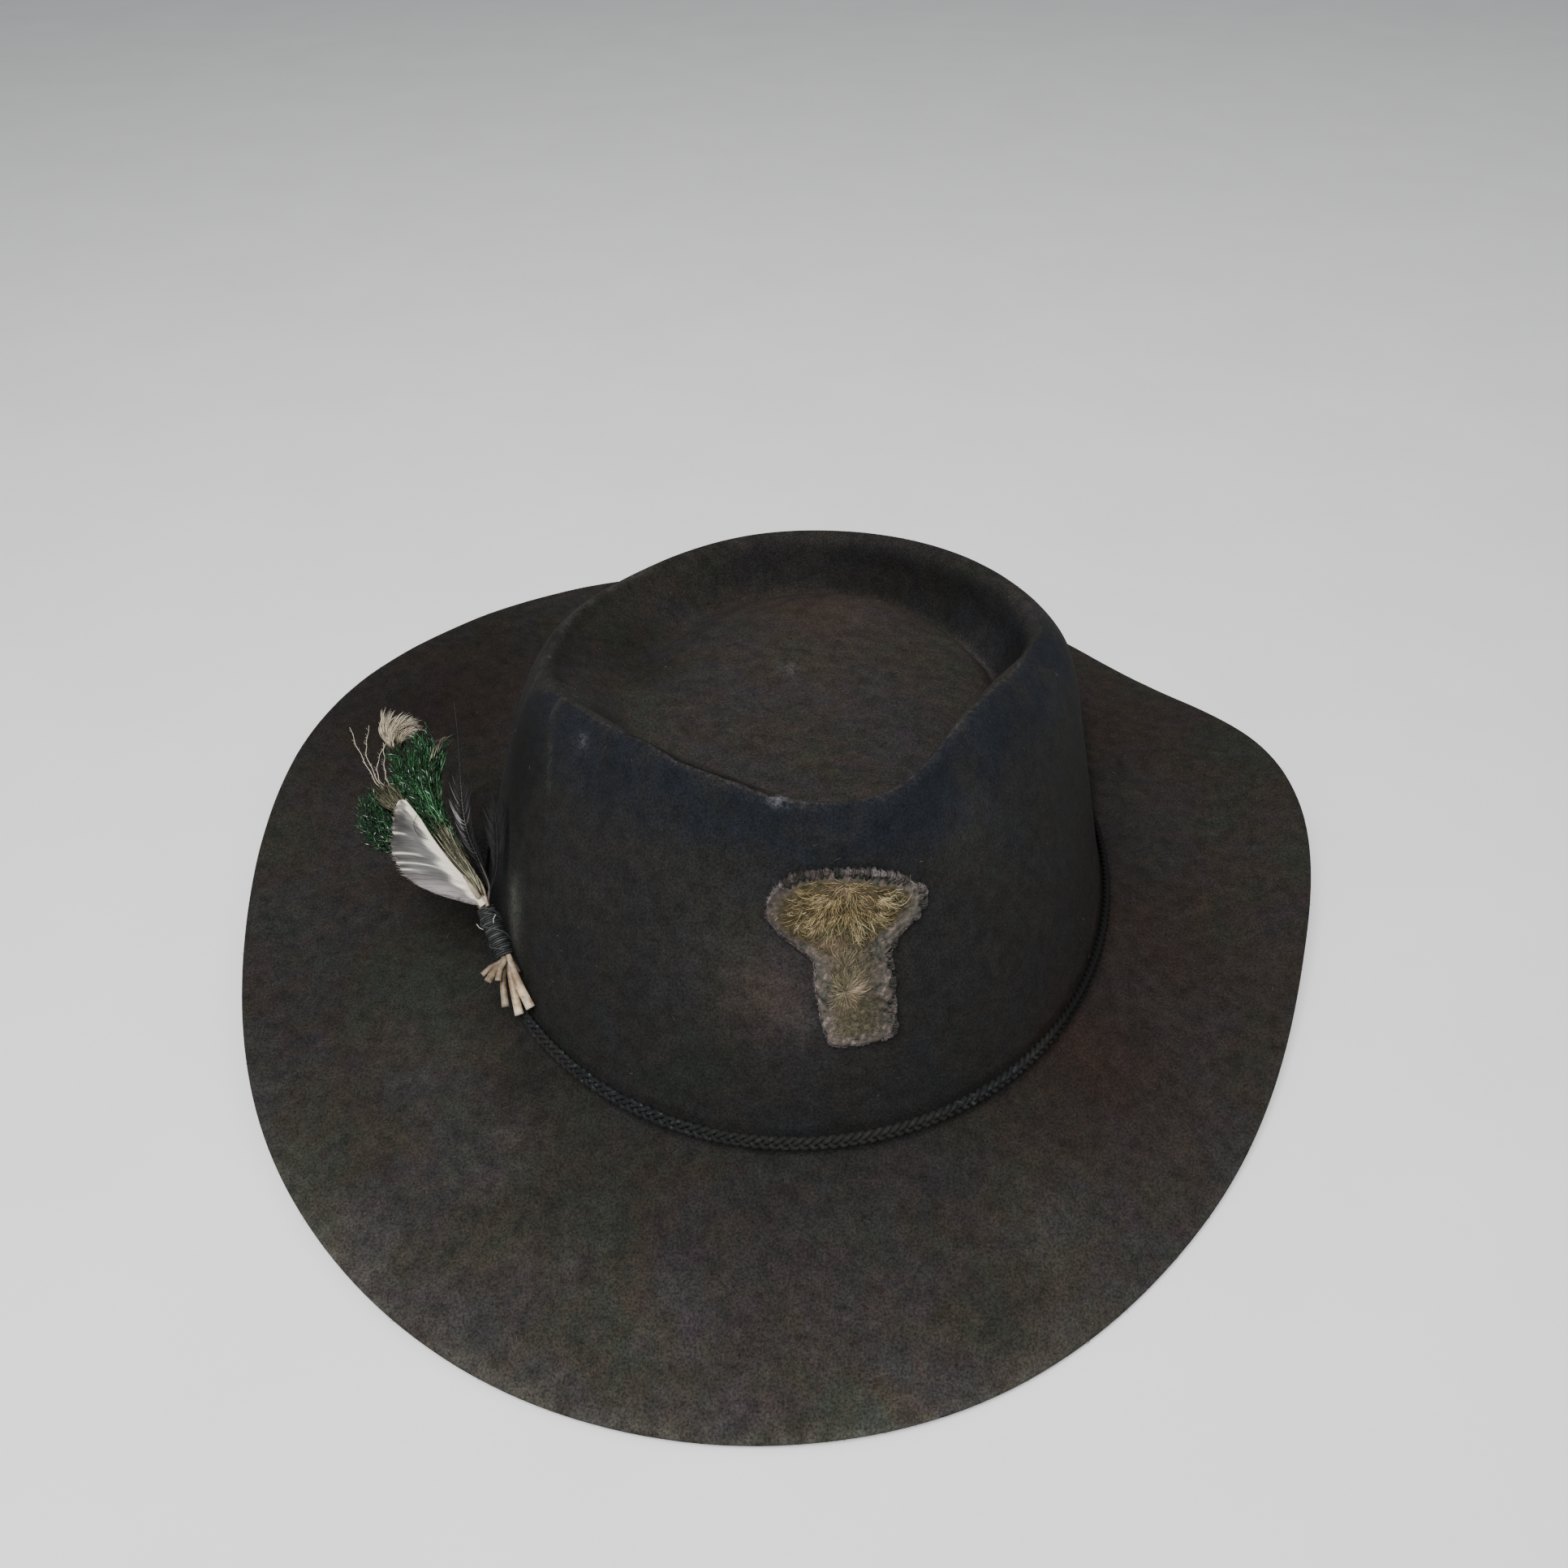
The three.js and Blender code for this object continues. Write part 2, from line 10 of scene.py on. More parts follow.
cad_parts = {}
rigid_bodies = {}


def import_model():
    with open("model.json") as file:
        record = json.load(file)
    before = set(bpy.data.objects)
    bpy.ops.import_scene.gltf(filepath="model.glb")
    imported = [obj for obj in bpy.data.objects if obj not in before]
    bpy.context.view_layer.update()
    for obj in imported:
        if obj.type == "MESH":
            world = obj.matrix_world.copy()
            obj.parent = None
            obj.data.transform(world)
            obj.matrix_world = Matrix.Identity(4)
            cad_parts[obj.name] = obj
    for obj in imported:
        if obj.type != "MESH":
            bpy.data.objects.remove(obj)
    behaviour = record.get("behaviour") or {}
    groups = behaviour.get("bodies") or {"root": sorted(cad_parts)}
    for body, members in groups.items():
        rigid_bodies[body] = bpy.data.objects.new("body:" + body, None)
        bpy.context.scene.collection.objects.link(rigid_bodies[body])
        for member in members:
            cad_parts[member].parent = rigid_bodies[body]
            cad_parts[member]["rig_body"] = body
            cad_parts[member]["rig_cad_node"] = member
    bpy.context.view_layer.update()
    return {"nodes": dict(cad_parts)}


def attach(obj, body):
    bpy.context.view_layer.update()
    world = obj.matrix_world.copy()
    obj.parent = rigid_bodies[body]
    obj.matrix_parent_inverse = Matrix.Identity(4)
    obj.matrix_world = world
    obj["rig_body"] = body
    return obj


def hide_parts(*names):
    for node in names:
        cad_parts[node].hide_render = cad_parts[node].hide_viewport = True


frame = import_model()
MM = 0.001

# The photograph's camera, in the part's frame
CAMERA_PLACE = (-0.67 * MM, -276.8 * MM, 286.4 * MM)
CAMERA_DOWN_DEGREES = 42
CAMERA_LENS_MM = 29.07

# The upright axis of the head, in millimetres
HEAD_AXIS = (2.33, -3.78)


# Colours and nodes

def colour(code):
    """An sRGB hex colour as linear red, green, blue and alpha."""
    parts = [int(code[k : k + 2], 16) / 255 for k in (1, 3, 5)]
    return (*[c / 12.92 if c <= 0.04045 else ((c + 0.055) / 1.055) ** 2.4 for c in parts], 1)


def new_material(name):
    """An empty material, to be built up node by node."""
    material = bpy.data.materials.new(name)
    material.use_nodes = True
    material.node_tree.nodes.clear()
    return material


def add_node(material, kind, take=0, stops=(), **settings):
    """Adds a shader node and gives its output. Capitalised settings feed its sockets, each with a
    number, a hex colour, another node's output or the name of numbers kept on the mesh, and
    the others are its own. Stops are the places and colours of a ramp."""
    tree = material.node_tree
    node = tree.nodes.new("ShaderNode" + kind)
    for name, value in settings.items():
        if name[0].islower():
            setattr(node, name, value)
    for socket in node.inputs:
        value = settings.get(socket.identifier.replace(" ", "_"))
        if isinstance(value, str) and value[0] == "#":
            value = colour(value)
        elif isinstance(value, str):
            value = add_node(material, "Attribute", "Fac", attribute_name=value)
        if isinstance(value, bpy.types.NodeSocket):
            tree.links.new(value, socket)
        elif value is not None:
            socket.default_value = value
    for k, (place, code) in enumerate(stops):
        elements = node.color_ramp.elements
        if k == 0:
            elements.remove(elements[-1])
        stop = elements.new(place) if k else elements[0]
        stop.position, stop.color = place, colour(code)
    return node.outputs[take] if node.outputs else node


def finish(material, **sockets):
    """Ends a material in its shader, with plain numbers on the shader's own sockets."""
    add_node(material, "OutputMaterial", Surface=add_node(material, "BsdfPrincipled", **sockets))
    return material


def lay_over(material, base, over, *shares, mode="MIX"):
    """Lays a colour or pattern over the base, as strongly as its shares say when multiplied."""
    share = shares[0]
    for other in shares[1:]:
        share = add_node(material, "Math", operation="MULTIPLY", Value=share, Value_001=other)
    sockets = {"Factor_Float": share, "A_Color": base, "B_Color": over}
    return add_node(material, "Mix", 2, data_type="RGBA", blend_type=mode, **sockets)


def darken(material, base, *patterns, share=1.0):
    """Multiplies the base by each pattern, as strongly as the share says."""
    for pattern in patterns:
        base = lay_over(material, base, pattern, share, mode="MULTIPLY")
    return base


def object_noise(material, grain_mm, detail, roughness):
    """Noise on object coordinates whose grain is a real size."""
    settings = {"Scale": 1 / (grain_mm * MM), "Detail": detail, "Roughness": roughness}
    return add_node(material, "TexNoise", Vector=add_node(material, "TexCoord", "Object"), **settings)


def mottle(material, grain_mm, detail, roughness, *stops):
    """Drifts of colour whose grain is a real size."""
    drifts = object_noise(material, grain_mm, detail, roughness)
    return add_node(material, "ValToRGB", Fac=drifts, stops=stops)


def broken(material, grain_mm, low, high, detail=3.0, roughness=0.55):
    """Broken patches of a real size: 0 where the noise is low and 1 where it is high."""
    patches = object_noise(material, grain_mm, detail, roughness)
    return add_node(material, "MapRange", Value=patches, From_Min=low, From_Max=high)


def rough_skin(material, grain_mm, detail, roughness, strength, depth_mm):
    """An uneven surface whose grain and depth are real sizes, drawn as a bump."""
    height = object_noise(material, grain_mm, detail, roughness)
    return add_node(material, "Bump", Height=height, Strength=strength, Distance=depth_mm * MM)


# Meshes

class Strands:
    """Gathers many fine tubes into one mesh, with numbers kept at each point."""

    def __init__(self, *numbers):
        self.points = []
        self.faces = []
        self.numbers = {name: [] for name in numbers}
        self.count = 0

    def tube(self, path, radii, sides, closed=False, up=(0.3, 0.2, 1), flat=1.0, **numbers):
        """A strand along a path. Flat is its depth along up as a share of its width, and its
        numbers are given once or for each step."""
        steps = len(path)
        after, before = np.roll(path, -1, 0), np.roll(path, 1, 0)
        if not closed:
            after[-1], before[0] = path[-1], path[0]
        tangent = unit(after - before)
        side = unit(np.cross(tangent, np.asarray(up, float)))
        top = np.cross(side, tangent) * flat
        turn = (np.arange(sides)[:, None] + 0.5) * 2 * math.pi / sides
        ring = side[:, None] * np.cos(turn) + top[:, None] * np.sin(turn)
        points = path[:, None] + ring * np.broadcast_to(radii, steps)[:, None, None]
        k = np.arange(steps if closed else steps - 1)[:, None] * sides
        s = np.arange(sides)
        following = (s + 1) % sides
        ahead = (k + sides) % (steps * sides)
        faces = np.stack([k + s, k + following, ahead + following, ahead + s], -1).reshape(-1, 4)
        if not closed:
            self.faces.append((self.count + s[::-1]).tolist())
            self.faces.append((self.count + (steps - 1) * sides + s).tolist())
        self.faces.extend((self.count + faces).tolist())
        self.points.append(points.reshape(-1, 3))
        self.count += steps * sides
        for name, values in numbers.items():
            self.numbers[name].append(np.repeat(np.broadcast_to(values, steps), sides))

    def piece(self, name, material):
        mesh = bpy.data.meshes.new(name)
        mesh.from_pydata(np.concatenate(self.points).tolist(), [], self.faces)
        keep_numbers(mesh, {label: np.concatenate(values) for label, values in self.numbers.items()})
        mesh.polygons.foreach_set("use_smooth", [True] * len(mesh.polygons))
        mesh.materials.append(material)
        mesh.update()
        made = bpy.data.objects.new(name, mesh)
        bpy.context.scene.collection.objects.link(made)
        return made


def keep_numbers(mesh, numbers):
    """Keeps named numbers at the points of a mesh, for its material to read."""
    for name, values in numbers.items():
        layer = mesh.attributes.new(name, "FLOAT", "POINT")
        layer.data.foreach_set("value", values.astype(np.float32))


def points_of(thing, kind="co"):
    """An object's points, or its normals there, as rows."""
    rows = np.zeros(len(thing.data.vertices) * 3)
    thing.data.vertices.foreach_get(kind, rows)
    return rows.reshape(-1, 3)


def move_points(thing, places):
    thing.data.vertices.foreach_set("co", places.ravel())
    thing.data.update()


def new_sheet(name, columns, rows):
    """A flat grid, with each point's share of the way across it and up it."""
    bpy.ops.object.select_all(action="DESELECT")
    bpy.ops.mesh.primitive_grid_add(x_subdivisions=columns, y_subdivisions=rows, size=2)
    sheet = bpy.context.object
    sheet.name = sheet.data.name = name
    across, up, _ = ((points_of(sheet) + 1) / 2).T
    return sheet, across, up


def finish_sheet(sheet, places, thickness_mm, numbers, material):
    """Moves a grid's points to their places and gives it its numbers, thickness and material."""
    move_points(sheet, places)
    keep_numbers(sheet.data, numbers)
    plate = sheet.modifiers.new("plate", "SOLIDIFY")
    plate.thickness = thickness_mm * MM
    bpy.ops.object.modifier_apply(modifier=plate.name)
    bpy.ops.object.shade_smooth()
    sheet.data.materials.append(material)
    return sheet


def unit(vectors):
    return vectors / np.maximum(np.linalg.norm(vectors, axis=-1, keepdims=True), 1e-12)


def curve_between(a, b, c, d, t):
    """A smooth curve through four points, at a share of the way from the second to the third."""
    return b + 0.5 * t * (c - a + t * (2 * a - 5 * b + 4 * c - d + t * (3 * (b - c) + d - a)))


def smooth_line(rows, count):
    """Rows of numbers resampled as a smooth curve through them, with as many steps to each row."""
    rows = np.asarray(rows, float)
    ends = np.vstack([2 * rows[0] - rows[1], rows, 2 * rows[-1] - rows[-2]])
    place = np.linspace(0, len(rows) - 1, count)
    k = np.minimum(place.astype(int), len(rows) - 2)
    return curve_between(*(ends[k + j] for j in range(4)), (place - k)[:, None])


def smooth_ring(rows, count):
    """A closed line of points resampled as a smooth curve."""
    place = np.arange(count) * len(rows) / count
    k = place.astype(int)
    return curve_between(*(rows[(k + j - 1) % len(rows)] for j in range(4)), (place - k)[:, None])


def at_share(line, share):
    """A line's rows at a share of its steps, or at many."""
    steps = np.arange(len(line))
    return np.stack([np.interp(share * steps[-1], steps, column) for column in line.T], -1)


def noise_at(points, grain_mm, seed):
    """Smooth noise between about -1 and 1 at points in metres."""
    offset = Vector((seed, 2 * seed, 3 * seed))
    return np.array([noise.noise(Vector(p) / (grain_mm * MM) + offset) for p in points])


def ridges(x, z, grain, seed):
    """Smooth noise between about -1 and 1 on two numbers."""
    return np.array([noise.noise(Vector((a / grain, b / grain, seed))) for a, b in zip(x, z)])


def smooth_step(values, low, high):
    t = np.clip((values - low) / (high - low), 0, 1)
    return t * t * (3 - 2 * t)


def bell(away, reach):
    """1 at no distance, and next to nothing at twice the reach."""
    return np.exp(-((away / reach) ** 2))


def spot(points, place, reach):
    """The bell of each point's distance from a place."""
    return bell(np.linalg.norm(points - np.array(place), axis=1), reach)


# Felt

# Marks of wear: the kind of mark, its place and reach in mm, and its strength
FELT_MARKS = (
    ("worn", -49.5, -44.5, 91, 2.2, 0.3), ("worn", -2, -78, 103, 1.4, 1.1), ("worn", 1, 6, 74.5, 3, 0.2),
    ("worn", -56, -20, 87, 4, 0.2), ("dusty", 64, -126, 11, 12, 0.35), ("dusty", 64, -149, 4, 10, 0.4),
    ("dusty", 54, -156, 3, 10, 0.4), ("dusty", -69, -107, 14, 16, 0.35), ("dusty", -54, -133, 11, 9, 0.4),
    ("dusty", -95, -77, 14, 18, 0.25), ("rusty", -3, -98, 61, 13, 0.4), ("rusty", 79, -82, 17, 22, 0.8),
    ("rusty", 100, -40, 19, 30, 0.6), ("rusty", -115, 65, 16, 34, 0.5), ("rusty", 110, 60, 16, 40, 0.4),
    ("rusty", 10, 42, 70, 26, 0.5),
)
# Where the felt is paler or darker than around it: place and reach in mm, and how much, as a power of e
# Partly real tone and partly painted shade: the darker rows on the crown's left side paint the shade of a
# light from the right
FELT_TONE_AND_SHADE = (
    (-69, -24, 74, 14, -0.6), (-64, 8, 79, 14, -0.4), (-3, -98, 63, 9, 0.35), (-8, -95, 66, 16, 0.4),
    (10, 40, 69, 26, 0.3), (21, 47, 69, 9, 0.25), (-71, -49, 45, 4.4, 1.3), (-71, -54, 40, 4.6, 1.5),
    (-71, -58, 34, 4.4, 1.2), (-70, -30, 68, 14, -0.45), (-46, 24, 70, 14, -0.4), (-38, 8, 74, 9, -0.35),
    (-70, -8, 70, 10, -0.4), (58, 30, 64, 12, 0.5), (43, -67, 89, 14, 0.3), (8, -98, 58, 30, 0.15),
    (40, -74, 88, 12, 0.2), (8, 5, 72, 40, 0.15), (2.5, -102, 56, 7, 0.45), (26, -164, 4, 12, 0.2),
    (60, -160, 5, 10, 0.3), (-88, -90, 14, 14, 0.15), (-101, -128, 6, 9, 0.3), (-27, -147, 10, 9, 0.25),
    (-94, 13, 14, 16, -0.4), (-125, 55, 16, 34, -0.45), (-105, 105, 14, 26, -0.35),
    (-64, -92, 16, 10, -0.3), (49, -147, 8, 9, -0.3), (-55, -123, 13, 12, -0.2), (87, -43, 20, 12, 0.2),
    (78, -80, 18, 8, 0.3), (106, -6, 14, 16, -0.15), (64, 20, 82, 11, 0.35), (69, -21, 86, 10, 0.3),
    (43, -53, 101, 7, 0.2), (8, 73, 68, 9, 0.3), (-44, -57, 87, 9, -0.15),
)
# The painted shadow line on the brim along the crown's right side, where the crown's wall hangs over it
FOOT_SHADOW_LINE = ((84, -36, 20), (92, -7.6, 16.6), (95.2, 12.8, 14.2), (97.8, 29.2, 13.2), (100, 51.4, 11.8),
             (102, 70, 10.2))
# The sharp crest in front of the dish, from the left corner round to the right, in mm
CREST = (
    (-56, -28.3, 91.5), (-46.6, -39.9, 95.4), (-38.7, -47.7, 97.5), (-31.6, -54.5, 99.2),
    (-24.1, -63, 101), (-12.3, -71.3, 102.5), (-1.9, -77.5, 103.2), (9, -79, 103.6), (21.6, -75.9, 103.4),
    (30, -66.5, 103.3), (36, -56.7, 103), (42.5, -46.5, 102), (49, -35, 99.4), (54.7, -25.9, 97),
    (59.1, -17.3, 94.3), (64.1, -6, 90.7),
)
# Folds rubbed to a pale line: the left rim of the dish, and the corner below the crest
RUBBED_FOLDS = (
    ((-42, 56, 75.8), (-47.6, 49.5, 76.5), (-56.8, 35.6, 78.7), (-61.4, 22.8, 80.6), (-63.6, 1.1, 84),
     (-65.5, -12.6, 85), (-70.4, -14.2, 76.3), (-73, -17, 70)),
    ((-55.9, -29, 91.5), (-58.5, -33, 87), (-58.6, -40.5, 81), (-59.9, -45.3, 74.2)),
)
# Shallow dents: place, reach and depth in mm
FELT_DENTS = (
    (83, -32, 41, 16, 1.2), (-40, -58, 84, 22, 1.0), (45, -66, 84, 24, 1.0), (0, -100, 50, 30, 0.8),
    (100, -60, 17, 30, 1.0), (-110, -60, 12, 34, 1.0), (30, 20, 75, 20, 0.6),
)
# The crown's foot is an oval
FOOT_HALF_WIDTH = 90
FOOT_HALF_LENGTH = 108.5
# Drifts of colour: broad and close ones where the felt has faded, and deep ones where it hasn't
FELT_DRIFTS = (
    (34, 0.6, (0.35, "#31362f"), (0.46, "#39322b"), (0.55, "#373033"), (0.66, "#323432")),
    (13, 0.65, (0.35, "#373134"), (0.46, "#2f342e"), (0.57, "#3a342d"), (0.68, "#303233")),
    (18, 0.65, (0.32, "#252a25"), (0.45, "#2a2926"), (0.56, "#292829"), (0.68, "#26292a")),
)


def fine_copy(node, name):
    """A merged copy of a solid, subdivided twice, to be given a finer surface."""
    bpy.ops.object.select_all(action="DESELECT")
    made = frame["nodes"][node].copy()
    made.data = made.data.copy()
    made.name = made.data.name = name
    made.parent = None
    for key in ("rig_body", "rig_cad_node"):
        del made[key]
    made.data.materials.clear()
    bpy.context.scene.collection.objects.link(made)
    bpy.context.view_layer.objects.active = made
    made.select_set(True)
    bpy.ops.object.mode_set(mode="EDIT")
    bpy.ops.mesh.select_all(action="SELECT")
    bpy.ops.mesh.remove_doubles(threshold=0.01 * MM)
    bpy.ops.mesh.tris_convert_to_quads(face_threshold=math.radians(60), shape_threshold=math.radians(60))
    bpy.ops.object.mode_set(mode="OBJECT")
    finer = made.modifiers.new("finer", "SUBSURF")
    finer.levels = finer.render_levels = 2
    bpy.ops.object.modifier_apply(modifier=finer.name)
    bpy.ops.object.shade_smooth()
    return made


def felt_directions(points):
    """The way that the felt gives at each point, up on brim and dish and outwards on the wall,
    and the distances in mm from the head's axis to the point and to the crown's foot."""
    across = points[:, :2] / MM - np.array(HEAD_AXIS)
    out = np.linalg.norm(across, axis=1)
    oval = 1 / np.hypot(across[:, 0] / out / FOOT_HALF_WIDTH, across[:, 1] / out / FOOT_HALF_LENGTH)
    wall = smooth_step(out, 0.62 * oval, 0.75 * oval) * (1 - smooth_step(out, oval, oval + 10))
    return unit(np.column_stack([across / out[:, None] * wall[:, None], 1 - wall])), out, oval


def felt_hat():
    """The one felt piece, with the unevenness, the marks of long wear, and painted shade and light in its
    tone.
    """
    hat = fine_copy("felt_body", "felt_hat")
    points = points_of(hat)
    field, out, oval = felt_directions(points)
    lift = 0.3 * noise_at(points, 30, 1) + 0.12 * noise_at(points, 11, 5)
    for *place, reach, depth in FELT_DENTS:
        lift -= depth * spot(points / MM, place, reach)
    clear_of_braid = 1 - bell(out - oval - 2, 6)
    points += field * (lift * clear_of_braid * MM)[:, None]
    move_points(hat, points)
    keep_numbers(hat.data, felt_marks(points, points_of(hat, "normal"), out, oval))
    hat.data.materials.append(wool_felt())
    return hat


def nearest_on(points, rows):
    """For points in mm: the distance to a curve through rows, the side it is on when seen from
    above (left of its run is above 0), and the share of the curve's length there."""
    curve = smooth_line(rows, 160)
    apart = np.full(len(points), 1e9)
    which = np.zeros(len(points), int)
    for k, place in enumerate(curve):
        away = ((points - place) ** 2).sum(1)
        nearer = away < apart
        apart[nearer], which[nearer] = away[nearer], k
    last = len(curve) - 1
    run = (curve[np.minimum(which + 1, last)] - curve[np.maximum(which - 1, 0)])[:, :2]
    across = points[:, :2] - curve[which, :2]
    return np.sqrt(apart), np.sign(run[:, 0] * across[:, 1] - run[:, 1] * across[:, 0]), which / last


def felt_marks(points, normals, out, oval):
    """How faded, blue-black, worn, dusty, rusty and toned the felt is at each point, where the tone also
    holds painted shade and light, where along the crest shade is painted just behind it, and its distances in
    mm from the crest and the rubbed folds."""
    points = points / MM
    frontwards = -points[:, 1]
    crown = 1 - smooth_step(out, oval + 2, oval + 8)
    faces_up = smooth_step(normals[:, 2], 0.25, 0.8)
    apart, hand, share = nearest_on(points, CREST)
    past_its_ends = smooth_step(np.abs(share - 0.5), 0.44, 0.5) * 12
    before = np.where(hand > 0, -apart, apart)
    front_of = smooth_step(before, -0.3, 0.6) * crown * smooth_step(points[:, 2], 55, 80)
    under_crest = front_of * (1 - smooth_step(apart, 10, 18))
    rim_of_dish = crown * smooth_step(out, 0.6 * oval, 0.8 * oval)
    steep_dish = crown * (1 - smooth_step(out, 0.6 * oval, 0.86 * oval)) * (1 - faces_up)
    blue_wall = smooth_step(before, 0, 1.5) * (1 - smooth_step(before, 9, 24))
    blue_wall *= 1 - smooth_step(out, oval - 4, oval)
    azimuth = np.degrees(np.arctan2(points[:, 1], points[:, 0])) % 360
    turns = np.arange(0, 365, 5)
    edge = [out[np.abs((azimuth - turn + 180) % 360 - 180) < 3].max() for turn in turns]
    rim = 1 - smooth_step(np.interp(azimuth, turns, edge) - out, 0.5, 3.5)
    dust = 0.25 * smooth_step(out, oval + 48, oval + 64) + 0.35 * rim
    marks = {
        "faded": faces_up * (1 - under_crest) * (1 - 0.6 * rim_of_dish),
        "blue": np.clip(front_of * blue_wall + 0.3 * steep_dish, 0, 1),
        "worn": np.zeros(len(points)),
        "dusty": smooth_step(frontwards, 40, 120) * dust,
        "rusty": np.zeros(len(points)),
        "crest": np.sign(-before) * (apart + past_its_ends),
        # The stretch of the crest's left part where shade is painted just behind it
        "crest_shade_span": smooth_step(share, 0.08, 0.16) * (1 - smooth_step(share, 0.34, 0.44)),
        "folds": np.minimum(*[nearest_on(points, rows)[0] for rows in RUBBED_FOLDS]),
    }
    for kind, *place, reach, strength in FELT_MARKS:
        marks[kind] = np.maximum(marks[kind], strength * spot(points, place, reach))
    # Painted shade, partly also dirt: the brim darker next to the crown's foot towards the front
    tone = -0.25 * (1 - crown) * bell(out - oval, 14) * smooth_step(frontwards, -60, 60)
    for *place, reach, strength in FELT_TONE_AND_SHADE:
        tone += strength * spot(points, place, reach)
    # Painted light: the brim paler towards its front edge
    tone += 0.42 * smooth_step(frontwards, 60, 165) * smooth_step(out, oval + 4, oval + 62)
    # Painted shadow along the crown's right foot
    tone -= 1.1 * bell(nearest_on(points, FOOT_SHADOW_LINE)[0], 1.5)
    marks["tone"] = np.exp(tone)
    return marks


def wool_felt():
    """Wool felt: milled fibres, matt, in drifts of olive, brown and mauve where it lies flat and has faded,
    blue-black under the crest, and rubbed pale along its folds, with painted shade in a line just behind the
    crest and painted shade and light multiplied in from its tone."""
    felt = new_material("wool_felt")
    broad, close, deep = (mottle(felt, grain, 5, ragged, *stops) for grain, ragged, *stops in FELT_DRIFTS)
    base = lay_over(felt, deep, lay_over(felt, broad, close, 0.45), "faded")
    uneven = mottle(felt, 11, 3, 0.55, (0.36, "#808080"), (0.56, "#ffffff"))
    patchy = broken(felt, 5, 0.3, 0.7)
    ragged = broken(felt, 1.6, 0.4, 0.6, 4, 0.7)
    from_crest = add_node(felt, "MapRange", Value="crest", From_Min=-10, From_Max=10)
    before = ((0.36, "#000000"), (0.44, "#6a6a6a"), (0.48, "#d0d0d0"), (0.505, "#909090"), (0.53, "#000000"))
    before = add_node(felt, "ValToRGB", Fac=from_crest, stops=before)
    # Painted shade: a near-black line just behind the crest, in the crease where the dish falls away
    shade_behind_crest = ((0.5, "#000000"), (0.53, "#ffffff"), (0.57, "#a0a0a0"), (0.66, "#000000"))
    shade_behind_crest = add_node(felt, "ValToRGB", Fac=from_crest, stops=shade_behind_crest)
    from_folds = add_node(felt, "MapRange", Value="folds", From_Min=0, From_Max=10)
    rubbed = ((0.0, "#c0c0c0"), (0.09, "#a0a0a0"), (0.2, "#303030"), (0.45, "#000000"))
    rubbed = add_node(felt, "ValToRGB", Fac=from_folds, stops=rubbed)
    for code, *shares in (
        ("#20242b", "blue", uneven),
        ("#33251f", "rusty"),
        ("#54534b", "dusty", patchy),
        ("#8a8b90", "worn", ragged),
        ("#56514f", before, ragged),
        # Near-black painted shade behind the crest
        ("#150e0f", shade_behind_crest, "crest_shade_span"),
        ("#5d5753", rubbed, patchy),
    ):
        base = lay_over(felt, base, code, *shares)
    clouds = mottle(felt, 4, 5, 0.65, (0.3, "#bfbfbf"), (0.5, "#e4e4e4"), (0.7, "#ffffff"))
    fibres = mottle(felt, 0.55, 3, 0.75, (0.34, "#929292"), (0.64, "#ffffff"))
    # The tone number multiplies in real tone together with painted shade and light
    base = darken(felt, base, clouds, fibres, "tone")
    nap = rough_skin(felt, 0.6, 4, 0.7, 0.5, 0.3)
    return finish(felt, Base_Color=base, Normal=nap, Roughness=0.95, Specular_IOR_Level=0.15)


# Braid

BRAID_HEIGHT = 3.8 * MM
BRAID_THICKNESS = 2.2 * MM
BRAID_REPEAT = 6.3 * MM
BRAID_STRAND = 0.62 * MM


def braid_lines():
    """The braid's middle line and its rise, from its plain solid, as closed lines."""
    points = points_of(frame["nodes"]["base_braid"])
    angles = np.arctan2(points[:, 1] - HEAD_AXIS[1] * MM, points[:, 0] - HEAD_AXIS[0] * MM)
    sections = 64
    which = np.round(angles / (2 * math.pi) * sections).astype(int) % sections
    middles, rises = [], []
    for k in range(sections):
        group = np.unique(points[which == k].round(7), axis=0)
        middle = group.mean(0)
        rise = np.linalg.svd(group - middle)[2][0]
        middles.append(middle)
        rises.append(rise * np.sign(rise[2]))
    return np.array(middles), np.array(rises)


def braid_cord():
    """A three-strand plait: two rows of slanted strands that cross in the middle."""
    middles, rises = braid_lines()
    length = np.linalg.norm(np.roll(middles, -1, 0) - middles, axis=1).sum()
    repeats = round(length / BRAID_REPEAT)
    steps = repeats * 10
    line, rise = smooth_ring(middles, steps), unit(smooth_ring(rises, steps))
    out = np.cross(unit(np.roll(line, -1, 0) - np.roll(line, 1, 0)), rise)
    strands = Strands()
    for strand in range(3):
        turn = 2 * math.pi * (np.arange(steps) * repeats / steps + strand / 3)[:, None]
        path = line + rise * (BRAID_HEIGHT / 2 - BRAID_STRAND) * np.sin(turn)
        path = path + out * (BRAID_THICKNESS / 2 - BRAID_STRAND) * np.sin(2 * turn)
        strands.tube(path, BRAID_STRAND, 6, closed=True)
    braid = strands.piece("braid_cord", worsted_braid())
    x, y, _ = points_of(braid).T / MM
    # Painted shade where the braid runs under the crown's bulge at the right
    keep_numbers(braid.data, {"shade_under_bulge": smooth_step(x, 48, 72) * smooth_step(y, -94, -72)})
    return braid


def worsted_braid():
    """Worsted braid: dull black yarn with a fine twist, greyed high spots, a brown fade, and painted shade
    where it runs under the crown's bulge at the right.
    """
    braid = new_material("worsted_braid")
    stops = ((0.35, "#0f1010"), (0.55, "#1a1b1c"), (0.67, "#303334"), (0.8, "#565a5b"))
    base = mottle(braid, 1.1, 4, 0.55, *stops)
    base = lay_over(braid, base, lay_over(braid, base, "#23221e", 0.6), broken(braid, 30, 0.4, 0.6))
    # Painted shade under the crown's bulge
    base = lay_over(braid, base, "#070505", "shade_under_bulge")
    twist = rough_skin(braid, 0.35, 3, 0.55, 0.7, 0.2)
    return finish(braid, Base_Color=base, Normal=twist, Roughness=0.85, Specular_IOR_Level=0.2)


# Patch

